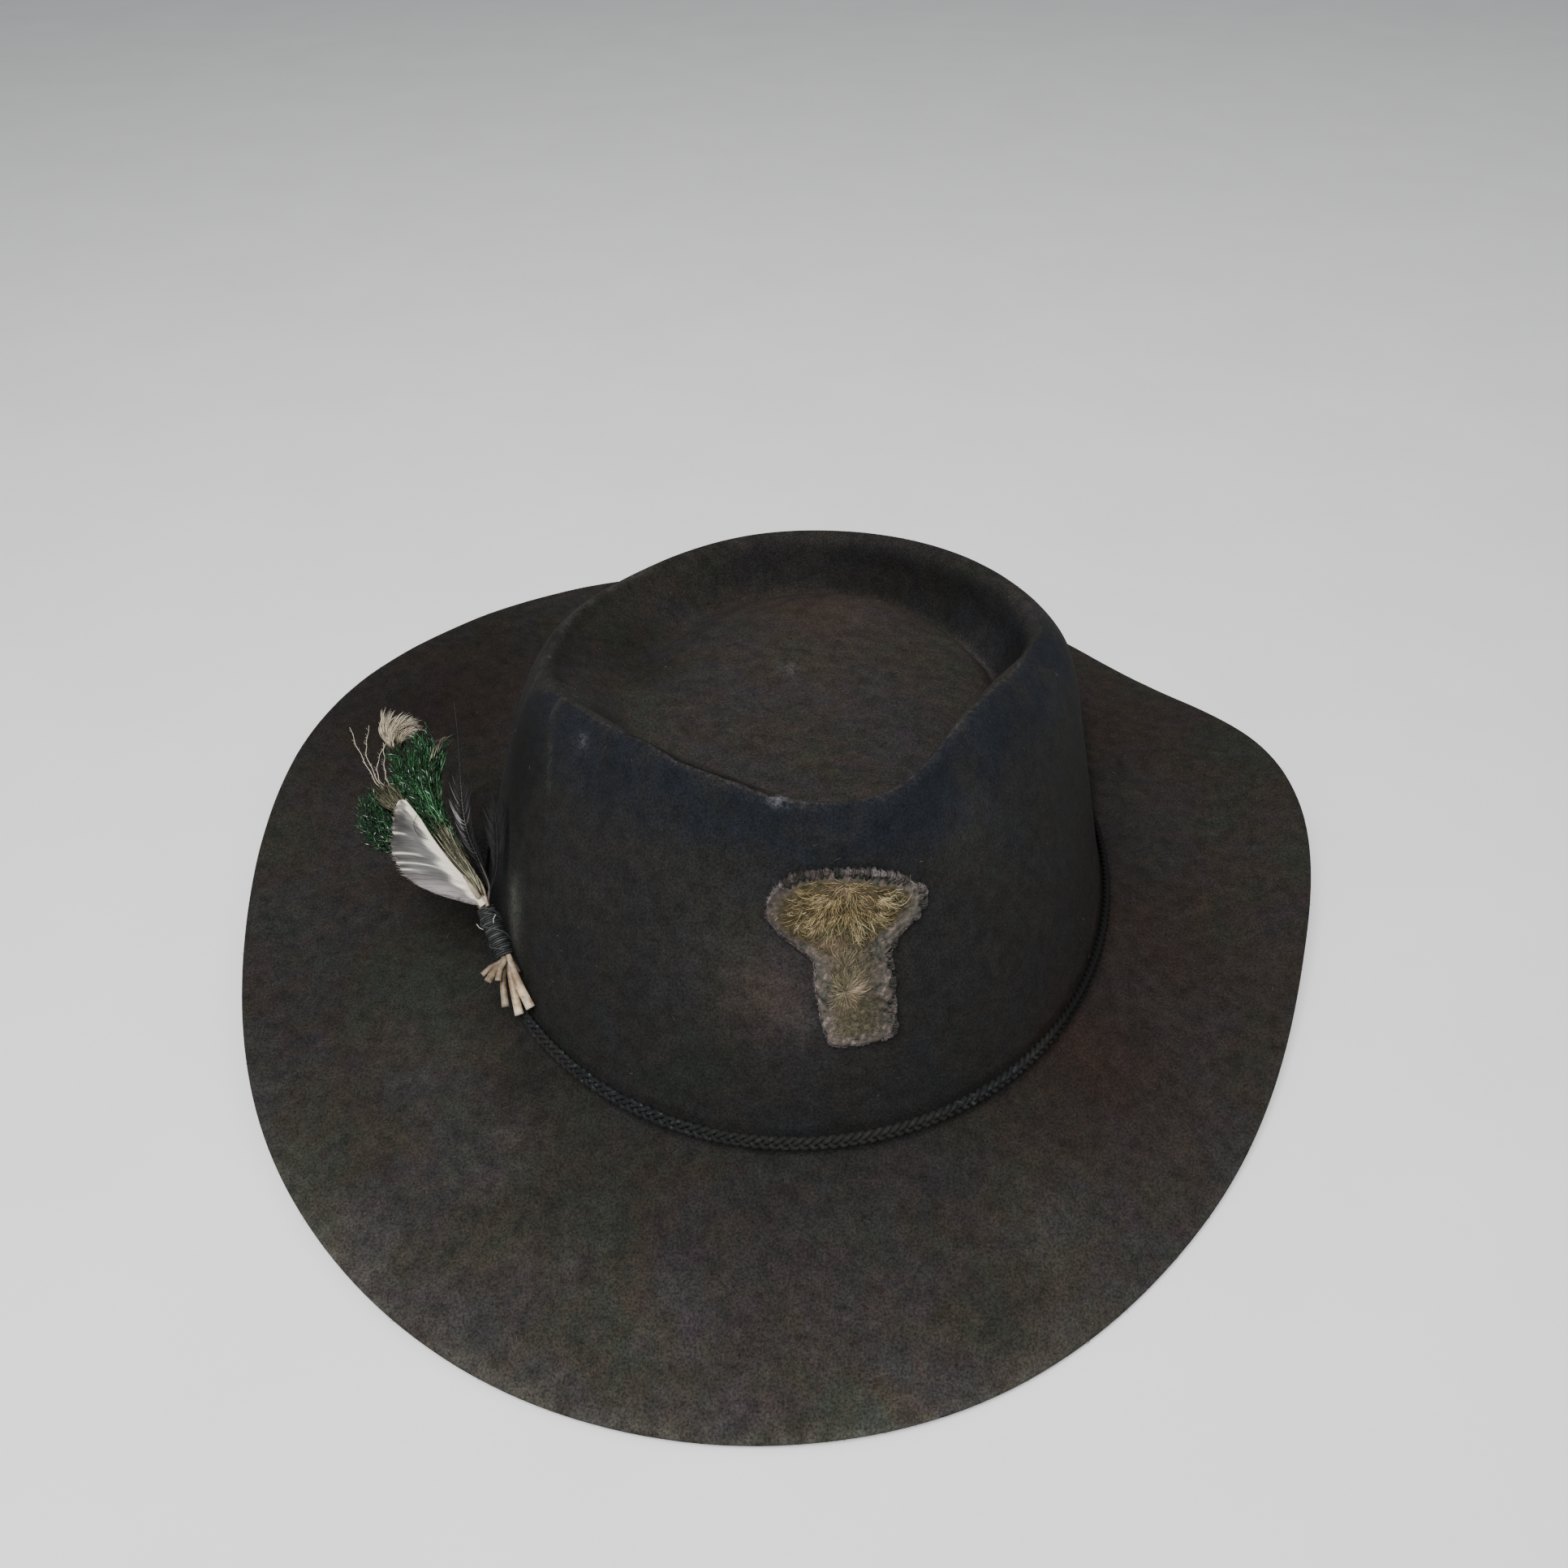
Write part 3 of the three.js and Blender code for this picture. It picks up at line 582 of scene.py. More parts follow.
# Rows of the patch in mm: height, cloth's left and right edges, gold's left and right edges
PATCH_ROWS = (
    (91, 8.5, 14, 12, 13), (90.2, 4.6, 18, 11, 14), (89, 1.4, 21.6, 6, 16), (87.6, -0.2, 24, 2.6, 19.6),
    (86, -2, 26.4, 0.8, 23), (84.2, -3.6, 28.4, -0.6, 25.6), (82.3, -4.4, 29.9, -1.8, 26.8),
    (80.4, -4.6, 30.4, -2.2, 26.4), (78.6, -4.3, 29.9, -2, 24.6), (77, -2.8, 28.2, -0.6, 21.4),
    (75.6, -0.8, 25.6, 2.6, 18.6), (74.2, 1.5, 24.1, 6, 18), (72.6, 4, 23.4, 8, 17.8),
    (71, 5.7, 22.5, 9, 18.4), (68, 5.9, 23.2, 9.6, 18.6), (64, 6.1, 23.7, 10, 18.7),
    (60, 7, 23.9, 9.8, 20), (57, 7.6, 24.2, 10, 21), (54, 8.5, 24.7, 10.6, 20.5), (52, 9, 24.4, 12, 19),
    (51, 9.8, 22.4, 14, 16), (50.4, 12.4, 16, 14, 16),
)
PATCH_FOOT = PATCH_ROWS[-1][0]
PATCH_TOP = PATCH_ROWS[0][0]
FAN_CENTRE = (12.5, 88.4)
STAR_CENTRE = (12.8, 64.2)


def surface_tree(thing):
    mesh = thing.data
    return BVHTree.FromPolygons([v.co for v in mesh.vertices], [p.vertices for p in mesh.polygons])


class FrontWall:
    """The felt's front wall as a map from x and height in mm to places and directions."""

    def __init__(self, felt_tree):
        self.x, self.z = np.arange(-12, 40, 1.0), np.arange(44, 99, 1.0)
        deep = np.zeros((len(self.z), len(self.x)))
        for i, z in enumerate(self.z):
            for j, x in enumerate(self.x):
                deep[i, j] = felt_tree.ray_cast(Vector((x * MM, -0.3, z * MM)), Vector((0, 1, 0)))[0].y / MM
        for _ in range(3):
            inner = (deep[:-2, 1:-1] + deep[2:, 1:-1] + deep[1:-1, :-2] + deep[1:-1, 2:]) / 4
            deep[1:-1, 1:-1] = (deep[1:-1, 1:-1] + inner) / 2
        self.deep = deep

    def depth(self, x, z):
        i = np.clip((z - self.z[0]), 0, len(self.z) - 1.001)
        j = np.clip((x - self.x[0]), 0, len(self.x) - 1.001)
        k, m = i.astype(int), j.astype(int)
        s, t = i - k, j - m
        low = self.deep[k, m] * (1 - t) + self.deep[k, m + 1] * t
        high = self.deep[k + 1, m] * (1 - t) + self.deep[k + 1, m + 1] * t
        return low * (1 - s) + high * s

    def place(self, x, z, lift):
        """Points in metres that stand off the wall by lift mm."""
        x, z, lift = np.broadcast_arrays(np.asarray(x, float), np.asarray(z, float), np.asarray(lift, float))
        y = self.depth(x, z)
        slope_x = (self.depth(x + 1, z) - self.depth(x - 1, z)) / 2
        slope_z = (self.depth(x, z + 1) - self.depth(x, z - 1)) / 2
        out = unit(np.stack([slope_x, -np.ones_like(x), slope_z], -1))
        return (np.stack([x, y, z], -1) + out * lift[..., None]) * MM


def patch_edge(z, column):
    """Where an edge of the patch or its gold lies at heights in mm, by its column in the rows."""
    rows = np.array(PATCH_ROWS)[::-1]
    return np.interp(z, rows[:, 0], rows[:, column])


def gold_top(x):
    """The height in mm where the goldwork ends at its top."""
    return 89.2 - 1.8 * smooth_step(x, 12, 24)


def inside_gold(x, z, margin):
    """Which points in mm lie further inside the goldwork than the margin."""
    cap = smooth_step(z, 76, 80)
    left, right = patch_edge(z, 3) - 0.6 + 0.7 * cap, patch_edge(z, 4) + 0.6 - 1.1 * cap
    return np.minimum.reduce([x - left, right - x, gold_top(x) - z, z - 53]) > margin


# Folds in the patch's cloth: one end on its edge, the other end further in, and the depth
PATCH_FOLDS = (((6.3, 63.4), (9.8, 59.8), 0.9), ((24, 58.4), (20, 61.2), 0.7), ((25, 55.8), (21, 58.4), 0.7))
# Notches in its right edge: height and depth
PATCH_NOTCHES = ((71.3, 1.2), (68.6, 0.6), (56.9, 2.0), (53.6, 0.8))


def patch_cloth(wall):
    """The patch's cloth: a puckered plate with worn, uneven edges, a fold at each side of its stem, and a
    ground for the goldwork that stands a little higher, with a light number that paints light across it and
    shade in its folds."""
    cloth, across, up = new_sheet("patch_cloth", 90, 120)
    z = PATCH_FOOT + up * (PATCH_TOP - PATCH_FOOT)
    left = patch_edge(z, 1) + 0.3 * ridges(0 * z, z, 1.2, 7)
    right = patch_edge(z, 2) + 0.6 * ridges(0 * z + 9, z, 1.1, 3)
    for height, depth in PATCH_NOTCHES:
        right -= depth * bell(z - height, 0.4)
    x = left + across * (right - left)
    edge = np.minimum.reduce([x - left, right - x, PATCH_TOP + 0.8 - z, z - PATCH_FOOT + 0.2])
    inside = np.minimum(x - patch_edge(z, 3), patch_edge(z, 4) - x)
    gold = smooth_step(inside + 1.2 * ridges(x, z, 1.8, 21), -1.4, 2.6)
    gold *= smooth_step(z, 52, 54.5) * (1 - smooth_step(z - gold_top(x), -1.6, 0.6))
    pucker = 0.4 * ridges(x, z, 1.5, 2) + 0.25 * ridges(x, z, 0.6, 4)
    lift = 1.05 + 0.25 * gold + pucker * (1 - 0.7 * gold)
    lift -= 0.7 * (1 - smooth_step(edge, 0, 0.7))
    stem = 1 - smooth_step(z, 70, 76)
    # Painted light: the cap lighter towards its right, the stem lighter still and darker towards its right
    light = (1 - stem) * (0.8 + 0.8 * smooth_step(x, 0, 28)) + stem * (1.5 - 0.25 * smooth_step(x, 8, 22))
    for (ax, az), (bx, bz), depth in PATCH_FOLDS:
        run = np.array((bx - ax, bz - az))
        share = np.clip(((x - ax) * run[0] + (z - az) * run[1]) / (run @ run), 0, 1)
        away = np.hypot(x - ax - share * run[0], z - az - share * run[1])
        crease = bell(away, 0.4) * (1 - 0.6 * share)
        lift -= depth * crease
        # Painted shade in the fold
        light *= 1 - 0.85 * crease
    places = wall.place(x, z, np.maximum(lift, 0.3))
    numbers = {"gold": gold, "rim": 1 - smooth_step(edge, 0.1, 0.9), "stem": stem, "light": light}
    return finish_sheet(cloth, places, 0.25, numbers, patch_wool())


def patch_wool():
    """Old wool cloth: mottled dull mauve, brown and grey-green, worn pale at its rim, and a dull olive-yellow
    ground under the goldwork, with painted light across it and painted shade in its folds."""
    wool = new_material("patch_wool")
    stops = ((0.34, "#1e1e1b"), (0.45, "#3a3a33"), (0.55, "#483f3a"), (0.67, "#69615b"))
    # The border multiplied by painted light across the patch
    border = darken(wool, mottle(wool, 1.6, 5, 0.65, *stops), "light")
    ground = mottle(wool, 1.0, 4, 0.55, (0.3, "#2c291b"), (0.5, "#463f2b"), (0.72, "#5e5439"))
    dull = mottle(wool, 1.0, 4, 0.55, (0.3, "#353228"), (0.5, "#504b3c"), (0.72, "#67604f"))
    base = lay_over(wool, border, lay_over(wool, ground, dull, "stem"), "gold")
    base = lay_over(wool, base, "#8c8180", "rim", broken(wool, 1.2, 0.35, 0.6))
    # Painted shade in the folds
    fold_shade = add_node(wool, "MapRange", Value="light", From_Min=0, From_Max=0.8)
    base = darken(wool, base, fold_shade)
    weave = rough_skin(wool, 0.5, 4, 0.55, 0.8, 0.3)
    return finish(wool, Base_Color=base, Normal=weave, Roughness=0.9, Specular_IOR_Level=0.2)


def patch_outline(pitch):
    """The cloth's outline in mm, as points an equal pitch apart with the way in at each."""
    z = np.linspace(PATCH_TOP, PATCH_FOOT, 160)
    left, right = (np.stack([patch_edge(z, column), z], 1) for column in (1, 2))
    ring = np.vstack([left, right[::-1], left[:1]])
    run = np.r_[0, np.cumsum(np.linalg.norm(np.diff(ring, axis=0), axis=1))]
    places = np.arange(0, run[-1], pitch)
    points = np.stack([np.interp(places, run, column) for column in ring.T], 1)
    tangent = unit(np.roll(points, -3, 0) - np.roll(points, 3, 0))
    return points, np.stack([-tangent[:, 1], tangent[:, 0]], 1)


# The edge's stitches: the pitch of the outline's points in mm, and the count of frayed ends
OUTLINE_PITCH = 0.1
FRAYED_ENDS = 260
STRANDS_IN_KNOT = 7


def edge_stitches(wall, chance):
    """Worn buttonhole edge: felted knots side by side along the top and here and there at
    the right, a thin broken thread along the rest, and frayed ends."""
    strands = Strands("shade", "pale")
    points, inward = patch_outline(OUTLINE_PITCH)
    k = 0
    while k < len(points) - 16:
        pitch = chance.uniform(1.0, 1.7)
        add_knot(strands, wall, chance, points[k], inward[k], pitch)
        k += round(pitch / OUTLINE_PITCH)
    for k in range(0, len(points) - 40, 4):
        if chance.random() < 0.45:
            continue
        run = points[k:k + chance.randrange(14, 40):3]
        off = chance.uniform(-0.15, 0.5)
        wave = 0.12 * np.sin(np.arange(len(run)) * chance.uniform(0.5, 1.6))
        x, z = (run + inward[k:k + 40:3][:len(run)] * (off + wave)[:, None]).T
        thread = wall.place(x, z, 0.95 + 0.3 * off + wave)
        strands.tube(thread, chance.uniform(0.05, 0.11) * MM, 3,
                     shade=chance.random(), pale=chance.random() ** 2 * (0.8 if x[0] < 12 else 0.5))
    for _ in range(FRAYED_ENDS):
        k = chance.randrange(len(points))
        (x, z), (u, w) = points[k], inward[k]
        turn = chance.uniform(-1.3, 1.3)
        du, dw = w * math.sin(turn) - u * math.cos(turn), -w * math.cos(turn) - u * math.sin(turn)
        t = np.array([-0.6, 0.3, 1]) * chance.uniform(0.3, 0.8)
        fray = wall.place(x + du * t, z + dw * t, np.array([1.2, 1.1, 0.6]))
        strands.tube(fray, 0.04 * MM, 3, shade=chance.random(), pale=chance.random() ** 2)
    return strands.piece("patch_edge_stitches", cotton_thread())


def add_knot(strands, wall, chance, place, inward, pitch):
    """One knot of seven worn strands over the cloth's edge, if one is left there."""
    (x, z), (u, w) = place, inward
    top = smooth_step(z, 85, 87.5)
    beside = 0.75 * (x > 21.5) * (z < 74) + 0.6 * (x > 27.5)
    if chance.random() > max(top, beside):
        return
    shade, bold = chance.random(), chance.uniform(0.7, 1.25)
    rubbed = bell(x - 20, 5) * top + 0.5 * (x > 27.5) + 0.5 * beside
    pale = 0.5 * rubbed * chance.random() + 0.3 * chance.random() ** 5
    reach = chance.uniform(0.9, 1.5) + 0.7 * top
    for strand in range(STRANDS_IN_KNOT):
        fan = (strand - 3) / 3 + chance.uniform(-0.15, 0.15)
        t = np.array([-0.34 * bold * (1 - 0.5 * fan ** 2), -0.1, 0.2, 0.55, 1]) * reach
        side = fan * 0.5 * pitch * np.array([0.55, 1.0, 0.95, 0.7, 0.5])
        lift = np.array([0.3, 1.1 + 0.45 * bold, 1.45 + 0.4 * bold, 1.35, 0.95]) - 0.35 * fan ** 2
        path = wall.place(x + u * t - w * side, z + w * t + u * side, lift)
        radii = chance.uniform(0.12, 0.2) * np.array([0.6, 1, 1, 0.9, 0.4]) * MM
        strands.tube(path, radii, 4, shade=np.clip(shade + chance.gauss(0, 0.12), 0, 1),
                     pale=pale * np.array([1.1, 1.3, 0.9, 0.5, 0.2]))


def cotton_thread():
    """Old soft cotton thread, dark grey-green to dusty mauve, matt, its loops rubbed pale."""
    cotton = new_material("cotton_thread")
    stops = ((0.0, "#1f211d"), (0.4, "#36362f"), (0.7, "#4a423f"), (1.0, "#5d5352"))
    base = lay_over(cotton, add_node(cotton, "ValToRGB", Fac="shade", stops=stops), "#98908f", "pale")
    grime = mottle(cotton, 0.6, 3, 0.55, (0.3, "#6f6f6f"), (0.7, "#ffffff"))
    return finish(cotton, Base_Color=darken(cotton, base, grime), Roughness=0.9, Specular_IOR_Level=0.2)


# Rows of wire tufts in the cap: share of the way out from the fan's centre, and their count
TUFT_ROWS = ((0.1, 6), (0.34, 10), (0.56, 13), (0.74, 15), (0.9, 15))
FAN_REACH = (15, 12.4)
# Where painted glints gather on the wires: place in mm, reach across and up, and strength
GLINTS = (
    (-1, 82, 2.4, 2.4, 1.1), (22.5, 83.5, 3.2, 2.2, 1.1), (11, 80.5, 3, 1.6, 0.7), (17, 79.5, 3, 2, 0.6),
    (4, 80.5, 2, 2, 0.5),
)
WIRE_RADIUS = 0.048 * MM
WIRES_IN_TUFT = 36
LOOSE_CAP_WIRES = 620
STAR_WIRES = 440
LOOSE_STEM_WIRES = 1100


class Goldwork:
    """Fine gold wires laid over the ground, each cut off where the gold ends."""

    def __init__(self, wall, chance):
        self.wall = wall
        self.chance = chance
        self.strands = Strands("shade", "bright", "grimy")

    def wire(self, x, z, way, bend, length, rise, shade, bright, grimy):
        ways = way + bend * np.arange(6) / 6
        x = x + np.r_[0, np.cumsum(np.cos(ways) * length / 6)]
        z = z + np.r_[0, np.cumsum(np.sin(ways) * length / 6)]
        keep = inside_gold(x, z, self.chance.uniform(-0.8, 3.6))
        if keep[:4].all():
            lift = 1.3 + rise * np.sin(np.linspace(0.1, math.pi - 0.2, keep.sum()))
            path = self.wall.place(x[keep], z[keep], lift)
            self.strands.tube(path, WIRE_RADIUS, 3, shade=shade, bright=bright, grimy=grimy)

    def tuft(self, ring, angle):
        """Wires that spring from one place in the cap, with painted glints where the GLINTS gather."""
        chance = self.chance
        across, up = FAN_REACH[0] * math.cos(angle), FAN_REACH[1] * math.sin(angle)
        x, z = FAN_CENTRE[0] + across * ring, FAN_CENTRE[1] + up * ring
        glint = sum(s * bell(math.hypot((x - a) / wide, (z - b) / high), 1) for a, b, wide, high, s in GLINTS)
        curl = chance.choice((-1, 1)) * chance.uniform(0.3, 1.4)
        tone = chance.uniform(-0.1, 0.3) - 0.45 * smooth_step(abs(x - 12), 6, 13)
        for _ in range(WIRES_IN_TUFT):
            lean = chance.gauss(0, 0.26)
            # Painted glints: a few wires made near-white, more of them where the glints gather
            bright = chance.random() ** 5 * (0.2 + 1.4 * glint)
            self.wire(
                x + chance.gauss(0, 0.6), z + chance.gauss(0, 0.45), math.atan2(up, across) + lean,
                (curl * chance.uniform(0.4, 1.1) + lean) / (1 + glint), chance.uniform(1.6, 4.4),
                chance.uniform(0.2, 0.9), chance.random() ** 1.8 + tone, bright, 0.3 * (z < 79),
            )

    def loose_place(self, low, high, past_edge, centre):
        """A place for a loose wire, and the way to it from the centre that it rays out from."""
        z = self.chance.uniform(low, high)
        x = self.chance.uniform(patch_edge(z, 3) - past_edge, patch_edge(z, 4) + past_edge)
        return x, z, math.atan2(z - centre[1], x - centre[0])


def gold_wires(wall, chance):
    """The goldwork: in the cap its wires spring in curved rows of tufts from a point at the
    top, and in the stem they ray out from the middle of a star."""
    gold = Goldwork(wall, chance)
    for share, count in TUFT_ROWS:
        for k in range(count):
            angle = math.radians(172 + 196 * (k + 0.5 + chance.uniform(-0.3, 0.3)) / count)
            gold.tuft(share + chance.uniform(-0.06, 0.06), angle)
    for _ in range(LOOSE_CAP_WIRES):
        x, z, way = gold.loose_place(75, 89, 0.8, FAN_CENTRE)
        gold.wire(x, z, way + chance.gauss(0, 0.5), chance.uniform(-1, 1), chance.uniform(1, 2.6), 0.3,
                  chance.random() ** 2, 0, 0.3)
    for k in range(STAR_WIRES):
        way = chance.uniform(0, 2 * math.pi) if k % 4 else chance.uniform(0.8, 2.4)
        first = chance.uniform(0.0, 3)
        height = STAR_CENTRE[1] + (5.5 if k % 12 == 0 else 0)
        # A few faint painted glints in the star
        gold.wire(STAR_CENTRE[0] + first * math.cos(way), height + first * math.sin(way),
                  way + chance.gauss(0, 0.16), chance.uniform(-0.6, 0.6), chance.uniform(1.2, 4.2), 0.5,
                  chance.uniform(0.1, 1) ** 1.5, 0.2 * chance.random() ** 2, 0.8)
    for _ in range(LOOSE_STEM_WIRES):
        x, z, way = gold.loose_place(53.5, 77, 0.6, STAR_CENTRE)
        gold.wire(x, z, way + chance.gauss(0, 0.6), chance.uniform(-1.2, 1.2), chance.uniform(1.2, 3.2), 0.3,
                  chance.random() ** 1.5 * 0.7, 0, 1.0)
    return gold.strands.piece("gold_wires", gilt_wire())


def gilt_wire():
    """Tarnished gilt wire: olive-tan where dull to clear pale gold, greyed by grime in the stem, and painted
    near-white glints where its bright number is high."""
    gilt = new_material("gilt_wire")
    clean = ((0.0, "#3a301c"), (0.5, "#7a6844"), (1.0, "#c0ab7b"))
    grimy = ((0.0, "#38352a"), (0.5, "#625d48"), (1.0, "#9c9371"))
    clean, grimy = (add_node(gilt, "ValToRGB", Fac="shade", stops=stops) for stops in (clean, grimy))
    base = lay_over(gilt, clean, grimy, "grimy")
    base = lay_over(gilt, base, lay_over(gilt, base, "#ad9480", 0.35), broken(gilt, 9, 0.45, 0.6))
    # Painted glints
    base = lay_over(gilt, base, "#fbefc4", add_node(gilt, "MapRange", Value="bright", From_Min=0, From_Max=1))
    return finish(gilt, Base_Color=base, Metallic=0.35, Roughness=0.45)


# Feathers

BUNDLE_MIDDLE = np.array((-75.57, -58.18, 37.97))
ALONG = unit(np.array((-0.438, 0.764, 0.474)))
FACE = np.array((0.12, -0.473, 0.873))
OUT = unit(FACE - ALONG * (FACE @ ALONG))
SIDE = np.cross(ALONG, OUT)
BINDING_REACH = 7.35
QUILL_CIRCLE = 1.05


def in_bundle(rows):
    """Points in metres from rows of millimetres along, to the side of and out from the bundle."""
    rows = np.asarray(rows, float)
    return (BUNDLE_MIDDLE + rows[..., :1] * ALONG + rows[..., 1:2] * SIDE + rows[..., 2:3] * OUT) * MM


def quill_rows(seat, root, shaft):
    """A quill's middle line with its radius: free root, straight run through the binding, shaft."""
    turn = math.radians(54 + 72 * seat)
    s, o = QUILL_CIRCLE * math.cos(turn), QUILL_CIRCLE * math.sin(turn)
    inside = [(-BINDING_REACH, s, o, 0.72), (0, s, o, 0.62), (BINDING_REACH, s, o, 0.6)]
    return np.array([*root, *inside, *shaft], float)


def strand_in_lock(rows, chance, first, last, steps, wander):
    """A line through a lock's sections that keeps its own place in them, from one share of
    the lock's length to another. Sections give along, side, out, width and thickness."""
    along, side, out, width, depth = at_share(smooth_line(rows, 25), np.linspace(first, last, steps)).T
    turn, far = chance.uniform(0, 2 * math.pi), math.sqrt(chance.random()) / 2
    sway = np.linspace(0, 1, steps) ** 2 * wander
    side = side + width * far * math.cos(turn) + sway * chance.uniform(-1, 1)
    out = out + depth * far * math.sin(turn) + sway * chance.uniform(-1, 1)
    return np.stack([along, side, out], 1)


# The cut quills: seat in the binding, free root and shaft (along, side, out, radius), paleness
QUILLS = (
    (0, [(-22.4, 0.6, 1.7, 1.3), (-15, 0.2, 1.6, 1.1)], [(13, 1.2, 0.9, 0.55), (22, -0.2, 0.4, 0.35)], 1.0),
    (1, [(-11.8, -6.6, 2.4, 1.0), (-9.8, -4, 1.9, 0.9)], [(10, -0.6, 2.6, 0.75), (16, -2, 3.8, 0.6)], 0.5),
    (1, [(-9.6, -7.2, 2.2, 0.7), (-8.6, -4.6, 1.8, 0.7)], [(8, -0.6, 1.4, 0.3)], 0.45),
    (1, [(-12.6, -4.2, 2.3, 0.8), (-10, -2.6, 1.9, 0.8)], [(8, -0.4, 1.4, 0.3)], 0.65),
    (2, [(-19.2, -5, 0.2, 1.0), (-13, -3.2, -0.2, 0.85)],
     [(14, -3.2, -0.6, 0.5), (24, -8.2, -0.8, 0.3)], 0.4),
    (3, [(-22.4, -2.6, -0.5, 1.25), (-15, -1.4, -0.9, 1.0)],
     [(16, -0.8, -2.8, 0.5), (34, -2.2, -4.2, 0.3)], 1.0),
    (4, [(-12.6, 1.6, -0.1, 0.6)], [(12, 3.1, 0.2, 0.4), (19, 3.3, 0.4, 0.25)], -0.2),
)


def quills():
    """The cut quills that come out below the binding, cream horn with brown stains. The
    white feather's is split into three short frayed ends."""
    strands = Strands("shade", "pale")
    shade = np.linspace(0, 1, 40)
    for seat, root, shaft, pale in QUILLS:
        line = smooth_line(quill_rows(seat, root, shaft), 40)
        strands.tube(in_bundle(line), line[:, 3] * MM, 8, up=OUT, flat=0.75, shade=shade, pale=pale)
    return strands.piece("feather_quills", quill_horn())


def quill_horn():
    """Dry quill: translucent horn, cream to pinkish brown, slightly glossy."""
    horn = new_material("quill_horn")
    base = lay_over(horn, "#2e2520", "#c8baa2", "pale")
    stain = mottle(horn, 3, 4, 0.65, (0.34, "#776a5e"), (0.46, "#bdb1a4"), (0.6, "#ffffff"))
    # A darker brown band just below the binding: partly stain, partly painted shade under the binding
    stops = ((0.0, "#ffffff"), (0.1, "#f4e8d8"), (0.22, "#9a8270"), (0.4, "#ffffff"))
    root = add_node(horn, "ValToRGB", Fac="shade", stops=stops)
    base = darken(horn, base, stain, root, share=0.8)
    return finish(horn, Base_Color=base, Roughness=0.5, Specular_IOR_Level=0.4)


# The white feather's shaft (along, side, out) and the left edge of its vane
WHITE_SHAFT = ((7.4, -0.2, 1.6), (12, -1.2, 2.9), (20, -3.8, 4.6), (28, -5.6, 5.2), (35, -6.6, 4.9),
               (41.4, -8, 4))
WHITE_EDGE = (
    (8.5, -2.4, 1.6), (11, -5.6, 2.2), (15.2, -10.4, 2.9), (19.9, -14.2, 3.2), (23.5, -15.7, 3.4),
    (26.7, -16.1, 3.4), (30.3, -16, 3.4), (34.4, -14.2, 3.4), (38.4, -12.4, 3.5), (40.8, -10.8, 3.6),
)
WHITE_LENGTH = 34
LOOSE_WHITE_BARBS = 150
# Dark gaps in its grey part: share of the shaft, and width
WHITE_GAPS = ((0.385, 0.016), (0.33, 0.02), (0.26, 0.014), (0.5, 0.03))
# White streaks there: the barb's share of the shaft, and the share of the barb where it starts
WHITE_STREAKS = ((0.415, 0.5), (0.345, 0.3), (0.29, 0.82), (0.55, 0.68))


def white_feather(chance):
    """A pale body feather: a cream shaft along its right, and to its left one silky cupped
    vane, close and pinkish low down, thin and grey in the middle, with a few white barbs."""
    shaft, edge = smooth_line(WHITE_SHAFT, 200), smooth_line(WHITE_EDGE, 200)
    vane = white_vane(shaft, edge)
    return vane, white_barbs(shaft, edge, vane.data.materials[0], chance)


def barb_ends(shaft, edge, t):
    """Where the barbs at a share of the shaft start, and where they end on the vane's edge."""
    return at_share(shaft, t), at_share(edge, 1 - (1 - t) ** 1.9)


def white_vane(shaft, edge):
    """The vane: a cupped sheet whose rows follow its barbs, with how pale and pink it is."""
    vane, u, t = new_sheet("white_feather_vane", 28, 110)
    along = t * WHITE_LENGTH
    near, far = barb_ends(shaft, edge, t)
    line = near + (far - near) * u[:, None]
    line[:, 0] += 0.9 * np.sin(math.pi * u) * (np.sin(math.pi * t) + t ** 6)
    soft = ridges(along, u * 3, 3.2, 5)
    line[:, 2] += 4.8 * np.sin(math.pi * t) * u * (1 - u)
    line[:, 2] += (0.5 * soft + 0.12 * ridges(along, u, 0.7, 8)) * u
    split = np.maximum(0, ridges(along, 0 * u, 1.1, 12)) * np.maximum(0, u - 0.8)
    line += (near - line) * (0.5 * split)[:, None]
    low = 1 - smooth_step(t, 0.12, 0.32)
    # Darker and paler blotches in the vane's grey part; the darker ones are painted shade between its streaks
    blotch = ridges(along, u * 9, 4.2, 31) + 0.6 * ridges(along, u * 9, 1.8, 17)
    beside_shaft = 1 - smooth_step(u + 0.25 * soft, 0.12, 0.42)
    pale = 0.16 + 0.5 * smooth_step(t, 0.6, 0.82) + 0.1 * soft + 0.36 * blotch * smooth_step(u, 0.2, 0.45)
    pale += 0.9 * beside_shaft * (1 - 0.4 * smooth_step(t, 0.6, 0.9))
    pale = np.maximum(pale, 0.6 * low + 0.1 * soft)
    for place, width in WHITE_GAPS:
        pale *= 1 - 0.45 * bell(t - place + 0.05 * (1 - u), width) * smooth_step(u, 0.25, 0.6)
    for place, start in WHITE_STREAKS:
        streak = bell(t - place + 0.02 * (1 - u), 0.005 + 0.006 * u)
        pale += (1 - pale) * streak * smooth_step(u, start - 0.15, start + 0.05)
    pink = low * smooth_step(u, 0.2, 0.6)
    numbers = {"pale": np.clip(pale, 0, 1), "pink": pink, "barb": along * MM, "across": u * 12 * MM}
    return finish_sheet(vane, in_bundle(line), 0.12, numbers, pale_barb())


